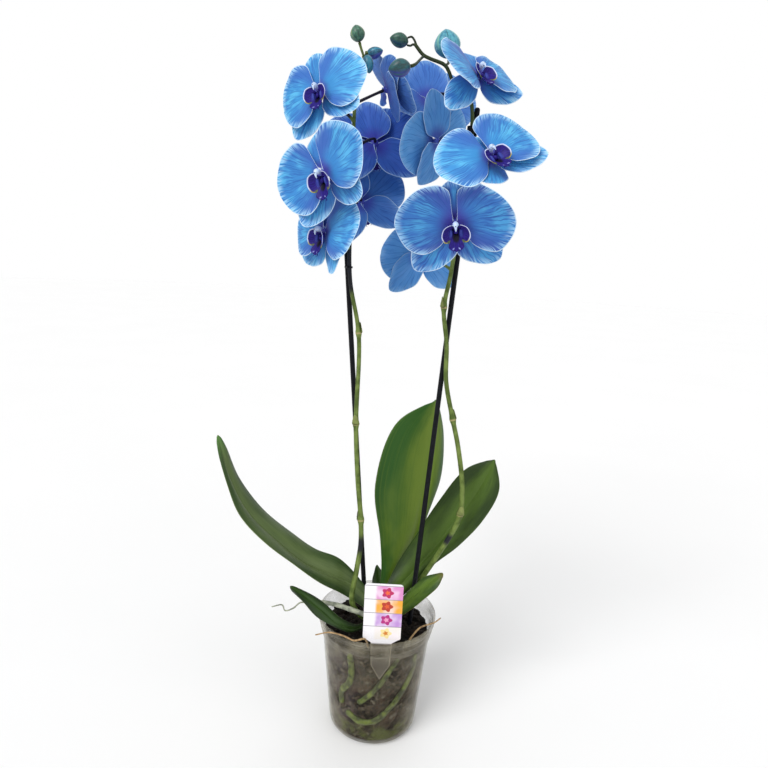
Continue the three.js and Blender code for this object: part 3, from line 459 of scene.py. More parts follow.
def bark_finish():
    """Bark chips: small dark brown and grey faces, black gaps of painted shade, moss below, painted light on the
    left side and painted shade on the top.
    """
    f = Finish("bark", Roughness=0.85, Specular_IOR_Level=0.15)
    spot = f.position()
    warp = f.node("ShaderNodeTexNoise", {"Vector": spot, "Scale": 150.0, "Detail": 2.0}, "Color")
    bent = f.node("ShaderNodeMix", {0: 0.005, 4: spot, 5: warp}, 1, data_type="VECTOR", clamp_factor=False)
    tone = f.node("ShaderNodeSeparateColor", {0: f.cells(bent, BARK_CELLS, "Color")})
    # Painted shade: the gaps between chips are darkened to near black.
    gaps = f.cells(bent, BARK_CELLS, "Distance", "DISTANCE_TO_EDGE")
    grain = f.noise(spot, 1100.0, 3.0, 0.7)
    damp = f.noise(spot, 60.0, 3.0)
    # Painted light: a lighter violet-grey on the left side of the bark, where the light falls.
    violet = f.times(f.fade(f.value("side"), -0.1, -0.7), f.fade(damp, 0.35, 0.6, 0, 0.6))
    moss = f.times(f.fade(f.value("low"), 0.3, 1.0), f.fade(damp, 0.42, 0.6))
    f.colour(f.stack("15110d", (tone, 0.15, 0.85, 1.0, "52473a"), (violet, "5a5064"),
                     (damp, 0.48, 0.66, 0.55, "4c3020"), (tone, 0.84, 0.96, 0.75, "70695c"), (moss, "59632c"),
                     (grain, 0.46, 0.62, 0.6, "0b0907"), (gaps, 0.08, 0.0, 1.0, "070504"),
                     # painted shade darkens the top of the bark and every chip
                     (f.value("top"), 0.2, 0.9, 0.75, "0b0908")))
    f.bump(f.plus(f.times(gaps, 2.0), grain), 0.8, 0.001)
    return f.material


def pot_finish():
    """Clear smoky plastic, denser where it is seen edge on and round its rim."""
    f = Finish("clear_plastic", Specular_IOR_Level=0.4, Coat_Weight=0.25, Coat_Roughness=0.1)
    facing = f.node("ShaderNodeLayerWeight", {"Blend": 0.35}, "Facing")
    haze = f.noise(f.position(), 55.0, 4.0, 0.6)
    scuff = f.noise(f.place(f.value("turn"), f.times(f.value("height"), 0.9)), 6.0, 3.0)
    rings = f.fade(f.noise(f.place(0.0, 0.0, f.times(f.value("height"), 0.55)), 1.0, 1.0), 0.55, 0.62)
    f.colour(f.stack("665f4c", (haze, 0.35, 0.65, 1.0, "a09880"), (f.times(rings, f.value("solid")), "d8d2c0")))
    f.rough(f.fade(scuff, 0.3, 0.7, 0.15, 0.3))
    alpha = f.plus(f.fade(facing, 0.3, 1.0, 0.05, 0.72), f.times(f.value("solid"), 0.22))
    f.join(f.shader.inputs["Alpha"], f.times(alpha, f.fade(haze, 0.3, 0.7, 0.7, 1.3)))
    return f.material


def plain_finish(name, dark, light, roughness, scale):
    """Plain plastic: two close tones, slightly uneven."""
    f = Finish(name, Specular_IOR_Level=0.15)
    grain = f.noise(f.position(), scale, 3.0, 0.6)
    f.colour(f.blend(f.fade(grain, 0.35, 0.65), dark, light))
    f.rough(f.fade(grain, 0.3, 0.7, roughness - 0.06, roughness + 0.06))
    f.bump(grain, 0.2, 0.0003)
    return f.material


# Height of the card's pointed end, then half the card's width against height, at its foot and at its sides
TAG_BASE = 80.0
TAG_FOOT_SLOPE, TAG_SIDE_START, TAG_SIDE_SLOPE = 0.5625, 5.16, 0.04
TAG_FOOT_TOP = (121.5, 119)  # heights between which the printed card turns into the bare foot
# Height of a band's middle, then the colours of its ground, its flower and the flower's heart
TAG_BANDS = [(175, "d98cc4", "b81f5c", "e8632c"), (160.6, "eaa62e", "b3321c", "d9541c"),
             (146.2, "b98ad0", "b01f78", "e79ac0"), (131.8, "ece6e0", "f0dc9a", "cf7a1e")]
TAG_BAND_HALF = 7.2
TAG_FLOWER_AT = 3.6


def tag_finish():
    """Printed card: four bands of colour with lines between them, a plain flower on each, and a bare foot."""
    f = Finish("printed_card", Specular_IOR_Level=0.4, Coat_Weight=0.3, Coat_Roughness=0.15, Roughness=0.35)
    u, v, front = f.value("u"), f.value("v"), f.value("front")
    card = f.blend(f.fade(f.noise(f.position(), 2000.0, 2.0), 0.4, 0.6), "e9e6ea", "f4f2f5")
    half = f.maths("MINIMUM", f.times(f.maths("SUBTRACT", v, TAG_BASE), TAG_FOOT_SLOPE),
                   f.plus(TAG_SIDE_START, f.times(v, TAG_SIDE_SLOPE)))
    border = f.maths("SUBTRACT", half, f.maths("ABSOLUTE", u))
    foot = f.blend(f.fade(border, 0.55, 0.25), "4e473b", "a29a84")
    card = f.blend(f.fade(v, *TAG_FOOT_TOP), card, foot)
    soft = f.noise(f.place(u, v), 0.09, 1.0)
    du = f.maths("SUBTRACT", u, TAG_FLOWER_AT)
    within = f.times(f.fade(u, -8.5, -5.5), front)
    for height, ground, bloom, heart in TAG_BANDS:
        dv = f.maths("SUBTRACT", v, height)
        far = f.maths("SQRT", f.plus(f.times(du, du), f.times(dv, dv)))
        wave = f.maths("COSINE", f.times(f.maths("ARCTAN2", dv, du), 5.0))
        petals = f.maths("SUBTRACT", far, f.plus(5.0, f.times(wave, 0.9)))
        band = f.fade(f.maths("ABSOLUTE", dv), TAG_BAND_HALF - 0.1, TAG_BAND_HALF - 0.3)
        core = f.plus(far, f.times(wave, 0.5))
        line = f.fade(f.maths("ABSOLUTE", f.maths("SUBTRACT", dv, TAG_BAND_HALF)), 0.45, 0.2)
        picture = f.stack(ground, (soft, 0.35, 0.7, 0.6, "f3e9f2"), (petals, 0.25, -0.25, 1.0, bloom),
                          (core, 2.6, 1.4, 1.0, heart))
        card = f.stack(card, (f.times(band, within), picture), (f.times(line, front), "8f8a92"))
    f.colour(card)
    return f.material


FINISHES = {
    "petal": petal_finish(),
    "lip": lip_finish(),
    "column": column_finish(),
    "stem": stem_finish(),
    "crown": crown_finish(),
    "bark": bark_finish(),
    "pot": pot_finish(),
    "tag": tag_finish(),
    "stake": plain_finish("stake", "07080c", "11131a", 0.5, 300.0),
    "clip": plain_finish("clip", "07080c", "15171c", 0.5, 400.0),
    "root_grey": root_finish("root_grey", "6f7466", "a9ad98", 140.0),
    "root_dry": root_finish("root_dry", "7b5f3c", "bb9a6c", 260.0),
    "root_green": root_finish("root_green", "28320e", "66762a", 130.0),
}

# Blooms: +X to the right seen from the face, +Y up, +Z out of the face. Each tepal has its direction,
# length, half widths, roundness of its two flanks, and how far it lies in front or behind.
TEPALS = {
    "rightPetal": dict(turn=8, length=50, half=(31, 27), flank=((0.72, 0.5), (0.95, 0.62)), lift=1.4),
    "leftPetal": dict(turn=172, length=50, half=(27, 31), flank=((0.95, 0.62), (0.72, 0.5)), lift=1.4),
    "topSepal": dict(turn=90, length=44, half=(16.5, 16.5), flank=((0.85, 0.6), (0.85, 0.6)), lift=-1.8),
    "leftSepal": dict(turn=228, length=48, half=(17, 18), flank=((0.85, 0.62), (0.8, 0.6)), lift=-2),
    "rightSepal": dict(turn=312, length=48, half=(18, 17), flank=((0.8, 0.6), (0.85, 0.62)), lift=-3.2),
}
TEPAL_ROOT = 1.5
TEPAL_SHARE = 0.991  # keeps the wavy rims inside the CAD's box
TEPAL_THICKNESS = (0.3, 0.9)  # at the rim and well inside it
KNOB_RADII, KNOB_BEHIND = (4, 4, 3.4), 1  # the knob behind a bloom, and how far back its middle is
# Each bloom has its place, facing (turn, tilt, roll), size and tint from cyan 0 to deep blue 1. Its petals and
# sepals have what they share, then what each has of its own: bend at root and tip, cup, twist, length, breadth.
BLOOMS = {
    "left_1": dict(
        at=(-69, -39, 610), face=(-25, 4, 14), size=0.9, tint=0.1,
        petal=dict(bend=(6, -28), cup=1.2), sepal=dict(bend=(-2, -9), cup=0.8),
        rightPetal=dict(turn=2, bend=(8, -23), cup=0.6, twist=-4, long=0.96, broad=0.98),
        leftPetal=dict(turn=7, bend=(3, -32), cup=1.7, twist=3, long=0.97, broad=0.96),
        topSepal=dict(turn=10, bend=(-2, -26), long=0.95),
        leftSepal=dict(turn=-7, long=0.98, broad=1.03),
        rightSepal=dict(turn=15, bend=(5, 8), twist=-7, long=0.92)),
    "left_2": dict(
        at=(-62, -53, 545), face=(-30, -19, 12), size=1, tint=0.35,
        petal=dict(bend=(3, 2), cup=1.9), sepal=dict(bend=(-1, 25), cup=0.9),
        rightPetal=dict(turn=12, bend=(6, 0), cup=1.2, twist=-13, broad=0.97),
        leftPetal=dict(turn=13, bend=(0, 4), cup=2.0, twist=10),
        topSepal=dict(turn=-10, bend=(-14, -45), twist=6, long=0.92, broad=1.06),
        leftSepal=dict(cup=0, twist=-4, long=1.02),
        rightSepal=dict(turn=16, bend=(6, 30), long=0.95, broad=1.02)),
    "left_3": dict(
        at=(-63, -20, 500), face=(-48, -7, -6), size=1.01, tint=0.3,
        petal=dict(bend=(8, -15), cup=-0.3), sepal=dict(bend=(3, -5), cup=1),
        rightPetal=dict(turn=6, bend=(9, -8), twist=-18, broad=1.02),
        leftPetal=dict(turn=2, bend=(6, -22), twist=11, broad=1.02),
        topSepal=dict(bend=(-10, -40), long=0.85),
        leftSepal=dict(turn=-8, twist=-5),
        rightSepal=dict(turn=4, bend=(3, 42), long=0.95)),
    "left_4": dict(
        at=(-15, 6, 626), face=(101, 26, 31), size=0.88, tint=0.75,
        petal=dict(bend=(13, -1), cup=2.5), sepal=dict(bend=(-1, -18), cup=0.5),
        rightPetal=dict(bend=(12, -11), broad=0.71),
        leftPetal=dict(turn=6, bend=(13, 6), twist=6, broad=0.86, long=0.94),
        topSepal=dict(turn=38, bend=(2, 22), twist=3),
        leftSepal=dict(turn=-27, bend=(5, 0), long=0.62, broad=1.7),
        rightSepal=dict(turn=-2, twist=7, long=0.5, broad=0.45)),
    "left_5": dict(
        at=(-26, 40, 585), face=(190, -21, -11), size=1.04, tint=1,
        petal=dict(bend=(3, -8), cup=-1.6), sepal=dict(bend=(4, 0), cup=-1.1),
        leftPetal=dict(turn=-2),
        topSepal=dict(turn=2, bend=(-1, 9), cup=-1.8, long=0.96, broad=1.11),
        leftSepal=dict(turn=-4, twist=3),
        rightSepal=dict(turn=11, twist=-6, long=1.06, broad=0.96)),
    "left_6": dict(
        at=(-36, 37, 531), face=(181, -23, -25), size=0.98, tint=0.6,
        petal=dict(bend=(4, -2), cup=-1.7), sepal=dict(bend=(1, 1), cup=-1.5),
        rightPetal=dict(bend=(2, -7)),
        leftPetal=dict(turn=-7, bend=(6, 2), twist=-4, long=0.97),
        topSepal=dict(bend=(-2, -10)),
        leftSepal=dict(turn=5, long=0.98, broad=0.92),
        rightSepal=dict(turn=5, long=1.07, broad=0.92)),
    "right_1": dict(
        at=(61, -9, 637), face=(34, 28, -3), size=0.98, tint=0.4,
        petal=dict(bend=(18, -8), cup=-0.6), sepal=dict(bend=(-6, -11), cup=-2),
        rightPetal=dict(bend=(11, -21), cup=0.3, twist=-14, long=0.95, broad=0.81),
        leftPetal=dict(turn=16, bend=(26, 5), cup=-1.4, twist=10),
        topSepal=dict(turn=-13, bend=(-6, -36), cup=1, twist=-15),
        leftSepal=dict(turn=-2, bend=(-11, -11), twist=6, long=0.98, broad=0.77),
        rightSepal=dict(turn=38, bend=(-1, 14), twist=9, long=1.04, broad=0.96)),
    "right_2": dict(
        at=(71, -58, 563), face=(11, 30, 28), size=0.98, tint=0.15,
        petal=dict(bend=(10, -28), cup=1.5), sepal=dict(bend=(5, 9), cup=0),
        rightPetal=dict(turn=9, bend=(10, -23), cup=3.2, twist=-5, broad=1.04),
        leftPetal=dict(turn=-7, bend=(11, -33), cup=-0.2, twist=4, long=0.95),
        topSepal=dict(turn=-3, bend=(-13, -36), twist=4, long=0.87),
        leftSepal=dict(turn=-3, bend=(5, 18), long=0.6, broad=1.12),
        rightSepal=dict(turn=28, twist=-7, long=1.05)),
    "right_3": dict(
        at=(48, -48, 511), face=(-1, -29, 8), size=1.03, tint=0.75,
        petal=dict(bend=(8, 20), cup=2.1), sepal=dict(bend=(8, 0), cup=1.5),
        rightPetal=dict(turn=5, bend=(13, 32), twist=-3, broad=1.04),
        leftPetal=dict(turn=-2, bend=(4, 8), cup=1.6, long=0.97, broad=1.05),
        topSepal=dict(turn=3, bend=(4, 10), cup=1, long=0.83),
        leftSepal=dict(twist=5, long=1.09, broad=1.06),
        rightSepal=dict(turn=3, twist=-7, long=1.03, broad=1.1)),
    "right_4": dict(
        at=(22, 63, 630), face=(202, -27, 13), size=1.01, tint=0.7,
        petal=dict(bend=(-4, -18), cup=-1.7), sepal=dict(bend=(-9, -12), cup=-1.6),
        rightPetal=dict(turn=11, bend=(-3, -24), twist=10, long=0.78, broad=0.93),
        leftPetal=dict(turn=-2, bend=(-5, -13), twist=11, broad=1.03),
        topSepal=dict(turn=-8, bend=(-10, 1), twist=-12, long=0.98, broad=1.27),
        leftSepal=dict(bend=(-5, -12)),
        rightSepal=dict(turn=5, bend=(-9, -17), twist=4)),
    "right_5": dict(
        at=(31, 18, 586), face=(227, 3, -22), size=0.95, tint=0.1,
        petal=dict(bend=(5, -5), cup=-1.1), sepal=dict(bend=(-7, 8), cup=-2),
        rightPetal=dict(turn=-5, twist=-3, broad=0.97),
        topSepal=dict(turn=3, twist=-10, long=1.04, broad=1.03),
        leftSepal=dict(bend=(-3, -11), cup=-1.5),
        rightSepal=dict(bend=(-9, 29), long=0.92)),
    "right_6": dict(
        at=(28, 57, 485), face=(141, -14, -10), size=1.05, tint=0.2,
        petal=dict(bend=(1, -22), cup=-3.5), sepal=dict(bend=(-1, -7), cup=1),
        rightPetal=dict(bend=(-1, -12)),
        leftPetal=dict(turn=-3, bend=(4, -33), long=0.96),
        leftSepal=dict(turn=-5, twist=13, long=1.07, broad=0.95),
        rightSepal=dict(turn=3, twist=-3, long=0.96)),
}


def bloom_place(bloom):
    """Where a bloom stands, where it faces, and a function that puts points of its own frame in their place."""
    turn, tilt, roll = np.radians(bloom["face"])
    facing = np.array([math.sin(turn) * math.cos(tilt), -math.cos(turn) * math.cos(tilt), math.sin(tilt)])
    upward = unit(UP - facing * facing[2])
    right = np.cross(upward, facing)
    c, s = math.cos(roll), math.sin(roll)
    matrix = np.stack([right, upward, facing], axis=1) @ np.array([[c, -s, 0], [s, c, 0], [0, 0, 1]])
    position = np.array(bloom["at"], float)
    return position, facing, lambda points: position + points @ matrix.T * bloom["size"]


def flank_width(s, reach, roundness):
    """Half width of a tepal as a share of its greatest, at a share s of its length."""
    return np.maximum(np.sin(np.pi * s ** reach), 0) ** roundness


def tepal_grid(bloom, part, s, t, rng):
    """Middle surface of a tepal in the bloom's frame, and its flat plan (distance out, distance across)."""
    tepal = TEPALS[part]
    shared = bloom["petal" if part.endswith("Petal") else "sepal"]
    form = dict(turn=0, twist=0, long=1, broad=1) | shared | bloom.get(part, {})
    along = np.clip(s, 0.001, 0.999)
    root, tip = np.radians(form["bend"])
    length = tepal["length"] * form["long"]
    change = (tip - root) or 1e-6
    reach = length * (np.sin(root + change * along) - math.sin(root)) / change
    rise = length * (math.cos(root) - np.cos(root + change * along)) / change
    neck = mix(0.3, 1, smooth(along, 0, 0.16))
    sides = [flank_width(along, *tepal["flank"][k]) * tepal["half"][k] for k in (0, 1)]
    ripple = 1 + 0.012 * np.sin(along * rng.uniform(9, 12) + rng.uniform(0, 6))
    width = t * neck * form["broad"] * np.where(t >= 0, *sides) * ripple
    cup = form["cup"] * t * t * np.sqrt(np.sin(np.pi * along))
    wave = 0.55 * np.abs(t) ** 4 * np.sin(along * rng.uniform(13, 18) + np.sign(t) * rng.uniform(0, 3))
    crease = -0.5 * np.exp(-(width / 2.2) ** 2) * np.sin(np.pi * along) ** 0.5
    turn, twist = np.radians([tepal["turn"] + form["turn"], form["twist"]])
    outward = np.array([math.cos(turn), math.sin(turn), 0])
    sideways = np.array([-math.sin(turn), math.cos(turn), 0])
    across = sideways * math.cos(twist) + UP * math.sin(twist)
    normal = -sideways * math.sin(twist) + UP * math.cos(twist)
    middle = (outward * (TEPAL_ROOT + reach)[..., None] + UP * (rise + tepal["lift"])[..., None]
              + across * width[..., None] + normal * (cup + wave + crease)[..., None])
    return middle, along * length, width


def edge_distance(out, across):
    """Distance of each point of a flat plan to its outline, the root end left out."""
    rim = np.concatenate([np.stack([out[:, 0], across[:, 0]], 1), np.stack([out[:, -1], across[:, -1]], 1),
                          np.stack([out[-1], across[-1]], 1)])
    plan = np.stack([out, across], -1)
    return np.linalg.norm(plan[:, :, None] - rim[None, None], axis=-1).min(axis=-1)


def spread(count, ends):
    """Shares from -1 to 1, closer together near both ends."""
    f = np.linspace(-1, 1, count)
    return np.sign(f) * (1 - (1 - np.abs(f)) ** ends)


def build_tepals(name, bloom):
    """The five tepals of a bloom, thin at their rims, and the knob that they grow from."""
    put = bloom_place(bloom)[2]
    rng = random.Random(f"tepals {name}")
    shape = Shape("fan", "reach", "edge", "front", "tint", "seed")
    for part in TEPALS:
        petal = part.endswith("Petal")
        rows, columns = (34, 33) if petal else (30, 21)
        s = mix(0.006, 0.9985, (spread(rows, 1.6) + 1) / 2)[:, None]
        t = spread(columns, 1.5)[None]
        s, t = np.broadcast_arrays(s, t)
        middle, out, width = tepal_grid(bloom, part, s, t, rng)
        edge = edge_distance(out, width)
        edge[-1] = edge[:, 0] = edge[:, -1] = 0
        thickness = mix(*TEPAL_THICKNESS, smooth(edge, 0, 7))
        points, faces, place, side = closed_sheet(middle, thickness)
        fan = np.arctan2(width, out + 5).ravel()[place]
        reach = np.hypot(width, out).ravel()[place]
        shape.add(put(points * TEPAL_SHARE), faces, fan=fan, reach=reach, edge=edge.ravel()[place],
                  front=side, tint=bloom["tint"] + (0 if petal else 0.1), seed=rng.uniform(0, 50))
    points, faces = ellipsoid(KNOB_RADII, (0, 0, -KNOB_BEHIND), 16, 10)
    shape.add(put(points), faces, reach=3, edge=20, front=0.5, tint=bloom["tint"])
    shape.piece(f"tepals_{name}", "petal_blue", FINISHES["petal"], f"bloom_{name}")


def ellipsoid(radii, centre, around, high):
    """Round body with sides around and rings high."""
    profile = [(math.sin(math.pi * i / high), -math.cos(math.pi * i / high)) for i in range(high + 1)]
    profile[0], profile[-1] = (0, -1), (0, 1)
    points, faces = lathe(profile, around)
    return points * np.array(radii) + np.array(centre), faces


COLUMN_PATH = [(0, 0, 0.5), (0, 1.6, 4), (0, 2.8, 7), (0, 3.0, 9), (0, 2.5, 10.4)]
COLUMN_RADII = ([0, 0.5, 0.78, 0.9, 1], [2.1, 1.9, 2.4, 2.4, 1.6])
COLUMN_BEAK = [(0, 1.5, 10.9), (0, -0.2, 11.3), (0, -1.7, 11.1)]
COLUMN_DOT, COLUMN_DOT_SIZE = np.array([0, 2.4, 11.8]), [0.7, 1.2, 1.5]


def build_column(name, bloom):
    """Column: a short curved rod that widens to a pale hooded tip, with a beak and a dark dot."""
    put = bloom_place(bloom)[2]
    shape = Shape("tip", "dot")
    points, faces, along, _ = tube(through(COLUMN_PATH, 16), np.interp(np.linspace(0, 1, 16), *COLUMN_RADII), 20)
    dot = np.exp(-((points - COLUMN_DOT) / COLUMN_DOT_SIZE) ** 2).prod(axis=1)
    shape.add(put(points), faces, tip=along, dot=dot)
    points, faces, _, _ = tube(through(COLUMN_BEAK, 8), np.linspace(1.2, 0.3, 8), 12)
    shape.add(put(points), faces, tip=1)
    shape.piece(f"column_{name}", "petal_blue", FINISHES["column"])


# Lip: angle from straight down and distance to its outline, up to the open top
LIP_OUTLINE = [(0, 14.8), (8, 14.1), (20, 13.6), (30, 12.6), (34, 11), (38, 9.8), (43, 10.6), (56, 11.6),
               (80, 11.8), (120, 10.8), (154, 8.1)]
INSIDE = 5  # distance from the rim given to what has no rim colour


def build_lip(name, bloom):
    """Lip: a cup of two round side lobes open at the top, with the small middle lobe below."""
    put = bloom_place(bloom)[2]
    turn = np.linspace(-LIP_OUTLINE[-1][0], LIP_OUTLINE[-1][0], 93)
    outline = np.interp(np.abs(turn), *np.array(LIP_OUTLINE).T)
    share = (1 - (1 - np.linspace(0.06, 1, 15)) ** 1.35)[:, None]
    out = mix(0.12, 1, share) * outline[None]
    sunk = (1 - smooth(share, 0, 0.6)) ** 2
    angle = np.radians(turn)[None]
    x, y = out * np.sin(angle), mix(-4.5, -3, sunk) - out * np.cos(angle)
    curl = 0.7 * smooth(share, 0.75, 1) * smooth(np.abs(turn), 35, 60)[None]
    z = 4.8 + 6.5 * (out / 12) ** 1.7 - 3.6 * sunk - 2 * np.exp(-(turn / 18) ** 2)[None] * smooth(out, 8, 15) + curl
    middle = np.stack([x, y, z], -1)
    side_lobe = smooth(np.abs(turn), 38, 44)[None] * np.ones_like(out)
    rim = (1 - share) * outline[None] + 4 * (1 - side_lobe)
    low = np.interp(np.abs(turn), [30, 35, 42, 56, 78], [0, 1, 1, 0.7, 0])[None] * smooth(share, 0.55, 0.8)
    throat = np.exp(-((x / 3.6) ** 2 + ((y + 9.3) / 4.6) ** 2) ** 1.5)
    callus = np.exp(-(((np.abs(x) - 4.4) / 2) ** 2 + ((y + 5.5) / 4.2) ** 2) ** 1.5)
    mark = np.exp(-((np.abs(x) - 2.6) / 1.1) ** 2 - ((y + 15.6 + 0.5 * np.abs(x)) / 0.7) ** 2)
    points, faces, place, _ = closed_sheet(middle, mix(0.3, 0.9, smooth(rim, 0, 3)))
    shape = Shape("rim", "low", "throat", "callus", "mark", "fan")
    fields = dict(rim=rim, low=low, throat=throat, callus=callus, mark=mark, fan=angle * np.ones_like(out))
    shape.add(put(points), faces, **{key: field.ravel()[place] for key, field in fields.items()})
    claw, faces, _, _ = tube([(0, -2.2, 2.2), (0, -3.4, 3.6), (0, -5, 5.2)], [1.6, 1.7, 1.9], 10)
    shape.add(put(claw), faces, rim=INSIDE, throat=0.4)
    for way in (-1, 1):
        ridge, faces = ellipsoid((1.4, 3.6, 1.5), (way * 4.1, -5.6, 6.1), 12, 8)
        shape.add(put(ridge), faces, rim=INSIDE, callus=1)
        path = through([(way * 1.2, -17.5, 10.2), (way * 2.6, -19.4, 10.8), (way * 2.2, -20.4, 12.2)], 7)
        tendril, faces, _, _ = tube(path, np.linspace(0.5, 0.2, 7), 8)
        shape.add(put(tendril), faces, rim=INSIDE)
    shape.piece(f"lip_visual_{name}", "lip_indigo", FINISHES["lip"], f"lip_{name}")


# Buds: place, direction of the point, length and thickness, where the stalk starts, and colours. FORK holds one.
BUDS = {
    "left_1": dict(at=(-43, 0, 667.5), point=(-0.3, -0.1, 1), long=13.8, thick=12.8, stalk=(-37, 0, 650),
                   finish=("2c5646", "4f8168", "2c5c50", "8a9a60")),
    "left_2": dict(at=(-28, 6, 654.5), point=(1, -0.3, 0.25), long=16, thick=10, stalk=(-36, 0, 649),
                   finish=("134c68", "2a7c96", "33409a", "2f8aa8")),
    "left_3": dict(at=(-32, -13, 640), point=(0.2, -0.2, -1), long=16, thick=9.5, stalk=(-35, 0, 647),
                   finish=("16506a", "2a7a90", "2c3f8c", "2a7a90")),
    "right_1": dict(at=(36, 25, 670.5), point=(-0.2, -0.2, 1), long=24, thick=23.6, stalk=(34, 4, 646),
                    finish=("2a7a98", "56a8b8", "2c5ab0", "86c4ac")),
    "right_2": dict(at=(-7, 3, 664.8), point=(-1, -0.2, 0.1), long=16.6, thick=12.2, stalk=None,
                    finish=("153f38", "2c5f4e", "164058", "36705a")),
    "right_3": dict(at=(-5, -42, 630), point=(-0.9, -0.25, -0.25), long=19, thick=14, stalk=(15, 3, 653),
                    finish=("0c3a3e", "1c5a5e", "282f86", "1a5c60")),
}


def build_bud(name, bud):
    """Bud: a blunt egg of three closed sepals, with a seam between each two."""
    rows, sides = 22, 36
    aim = unit(bud["point"])
    side = unit(np.cross(aim, [0.1, 0.9, 0.3]))
    other = np.cross(aim, side)
    along = np.repeat(mix(0.004, 0.996, np.arange(rows) / (rows - 1)), sides)
    turn = np.tile(np.arange(sides) / sides * 2 * math.pi, rows)
    wave = np.cos(3 * turn + 1.2 * along)
    seam, stripe = np.maximum(wave, 0) ** 14, np.maximum(-wave, 0) ** 6
    radius = bud["thick"] / 2 * np.sin(math.pi * along ** 0.9) ** 0.64 * (1 - 0.07 * seam)
    spot = (np.outer(np.cos(turn), side) + np.outer(np.sin(turn), other)) * radius[:, None]
    points = np.array(bud["at"]) + np.outer(along - 0.5, aim) * bud["long"] + spot
    under = np.maximum(-unit(spot + 1e-6)[:, 2], 0)
    shape = Shape("along", "seam", "under", "stripe", "turn")
    shape.add(points, ring_faces(rows, sides), along=along, seam=seam, under=under, stripe=stripe, turn=turn)
    shape.piece(f"bud_visual_{name}", "bud_teal", bud_finish(f"bud_{name}", *bud["finish"]), f"bud_{name}")


# Spikes: heights of the node rings, height and size of a dye stain, and the path of the stem
SPIKES = {
    "left": dict(
        nodes=(222, 321, 409), stain=197, stain_size=11,
        path=[(-7, -4, 114), (-19, -11, 126), (-26, -14, 141), (-23, -9, 170), (-20, -3, 197), (-21, 0, 221),
              (-26, 0, 265), (-30, 0, 320), (-31, 0, 408), (-41, 0, 458), (-43, 1, 503), (-42, -3, 550),
              (-43, -1, 602), (-41, 0, 636), (-36, 0, 648)]),
    "right": dict(
        nodes=(236, 331, 437), stain=209, stain_size=7,
        path=[(8, 2, 118), (24, 6, 128), (38, 7.5, 148), (50, 3, 172), (60, -2, 194), (67, -4, 209),
              (76, -5, 232), (77, -4, 262), (70, -2, 304), (63, -1, 331), (54, -2, 368), (52, -2, 403),
              (47, -3, 437), (51, -3, 468), (57, 0, 535), (60, -1, 565), (61, -1, 592), (58, 1, 619),
              (50, 3, 628), (41, 3, 635), (38, 3, 641), (34, 3, 646.5), (20, 3, 651.5), (14.5, 3, 654),
              (7, 3, 662)]),
}
# The fork that holds bud right_2 from above and below
FORK = [[(8.3, 3, 661), (6, 3, 665.6), (3.6, 3, 667.9), (0.6, 3, 667.1)],
        [(8.3, 3, 661), (5.2, 3, 661.9), (3, 3, 660.8), (0.5, 3, 661)]]
# Radii in millimetres, at the start and end where there are two
STEM_RADII = (2.8, 1.5)
FLOWER_STALK_RADII = (1.4, 1.15)
FLOWER_STALK_RISE = 14  # from the stem up to the bloom, and the length of the straight part behind the bloom
BUD_STALK_RADIUS = 1.1
FORK_RADII = (1.05, 0.8)
BRACT_LENGTH, BRACT_TURN = 10, 2.4  # BRACT_TURN is from one bract to the next, in radians


def add_stem(shape, side, path, length):
    """The main stem, swollen at its node rings. Returns its radii."""
    spike = SPIKES[side]
    heights = path[:, 2]
    share = np.linspace(0, 1, len(path))
    radii = mix(*STEM_RADII, share)
    ring = np.zeros(len(path))
    stain = np.exp(-((heights - spike["stain"]) / spike["stain_size"]) ** 2)
    # Painted shade: the left stem is darkened where it passes behind the stake, through the stain colour.
    if side == "left":  # dark where it passes the stake
        stain = np.maximum(stain, smooth(heights, 436, 456) * smooth(heights, 520, 500))
    for height in spike["nodes"]:
        distance = (share - share[at_height(path, height)]) * length
        # a collar at the node, and a longer swelling that thins out above it
        radii += 0.75 * np.exp(-(distance / 3.2) ** 2) + 0.3 * smooth(distance, -5, 0) * smooth(distance, 12, 2)
        ring = np.maximum(ring, np.exp(-(distance / 1.3) ** 2))
    points, faces, along, turn = tube(path, radii, 14)
    pick = (along * (len(path) - 1)).round().astype(int)
    fork = smooth(heights, 560, 640) * (0.9 if side == "right" else 0.25)
    shape.add(points, faces, ring=ring[pick], stain=stain[pick], along=along * length, turn=turn, fork=fork[pick])
    return radii


def add_bract(shape, path, radii, length, number, height):
    """A thin scale that wraps the stem just above a node ring and ends in a point."""
    tangents, normals, binormals = frames_along(path)
    middle, step_points = at_height(path, height), BRACT_LENGTH * len(path) / length
    rows = []
    for step in np.linspace(0, 1, 9):
        i = min(middle + int(step * step_points), len(path) - 1)
        half = 1.5 * math.sqrt(max(1 - step, 0)) + 0.02
        turns = number * BRACT_TURN + np.linspace(-half, half, 11)
        reach = radii[i] + 0.35 + 0.5 * step
        rows.append(path[i] + tangents[i] * (step * step_points % 1) * length / len(path)
                    + reach * (np.outer(np.cos(turns), normals[i]) + np.outer(np.sin(turns), binormals[i])))
    points, faces, _, _ = closed_sheet(np.array(rows), np.full((9, 11), 0.5))
    shape.add(points, faces, ring=0.55, along=height)


def add_flower_stalk(shape, path, bloom):
    """A dark stalk from the stem up and round to the back of a bloom."""
    position, facing, _ = bloom_place(bloom)
    end = position - facing * ((KNOB_BEHIND + KNOB_RADII[2]) * bloom["size"] + GAP)
    start = path[at_height(path, end[2] - FLOWER_STALK_RISE)]
    away = unit((end - start) * [1, 1, 0]) + UP * 0.5
    stalk = even(bezier(start, start + away * 8, end - facing * FLOWER_STALK_RISE, end, 40), 30)
    f = np.linspace(0, 1, 30)
    radius = mix(*FLOWER_STALK_RADII, f) + 0.5 * np.exp(-(f / 0.06) ** 2) + 0.25 * smooth(f, 0.7, 1)
    points, faces, along, turn = tube(stalk, radius, 12, (True, False))
    shape.add(points, faces, dark=smooth(along, 0.02, 0.25), along=along * 60, turn=turn)


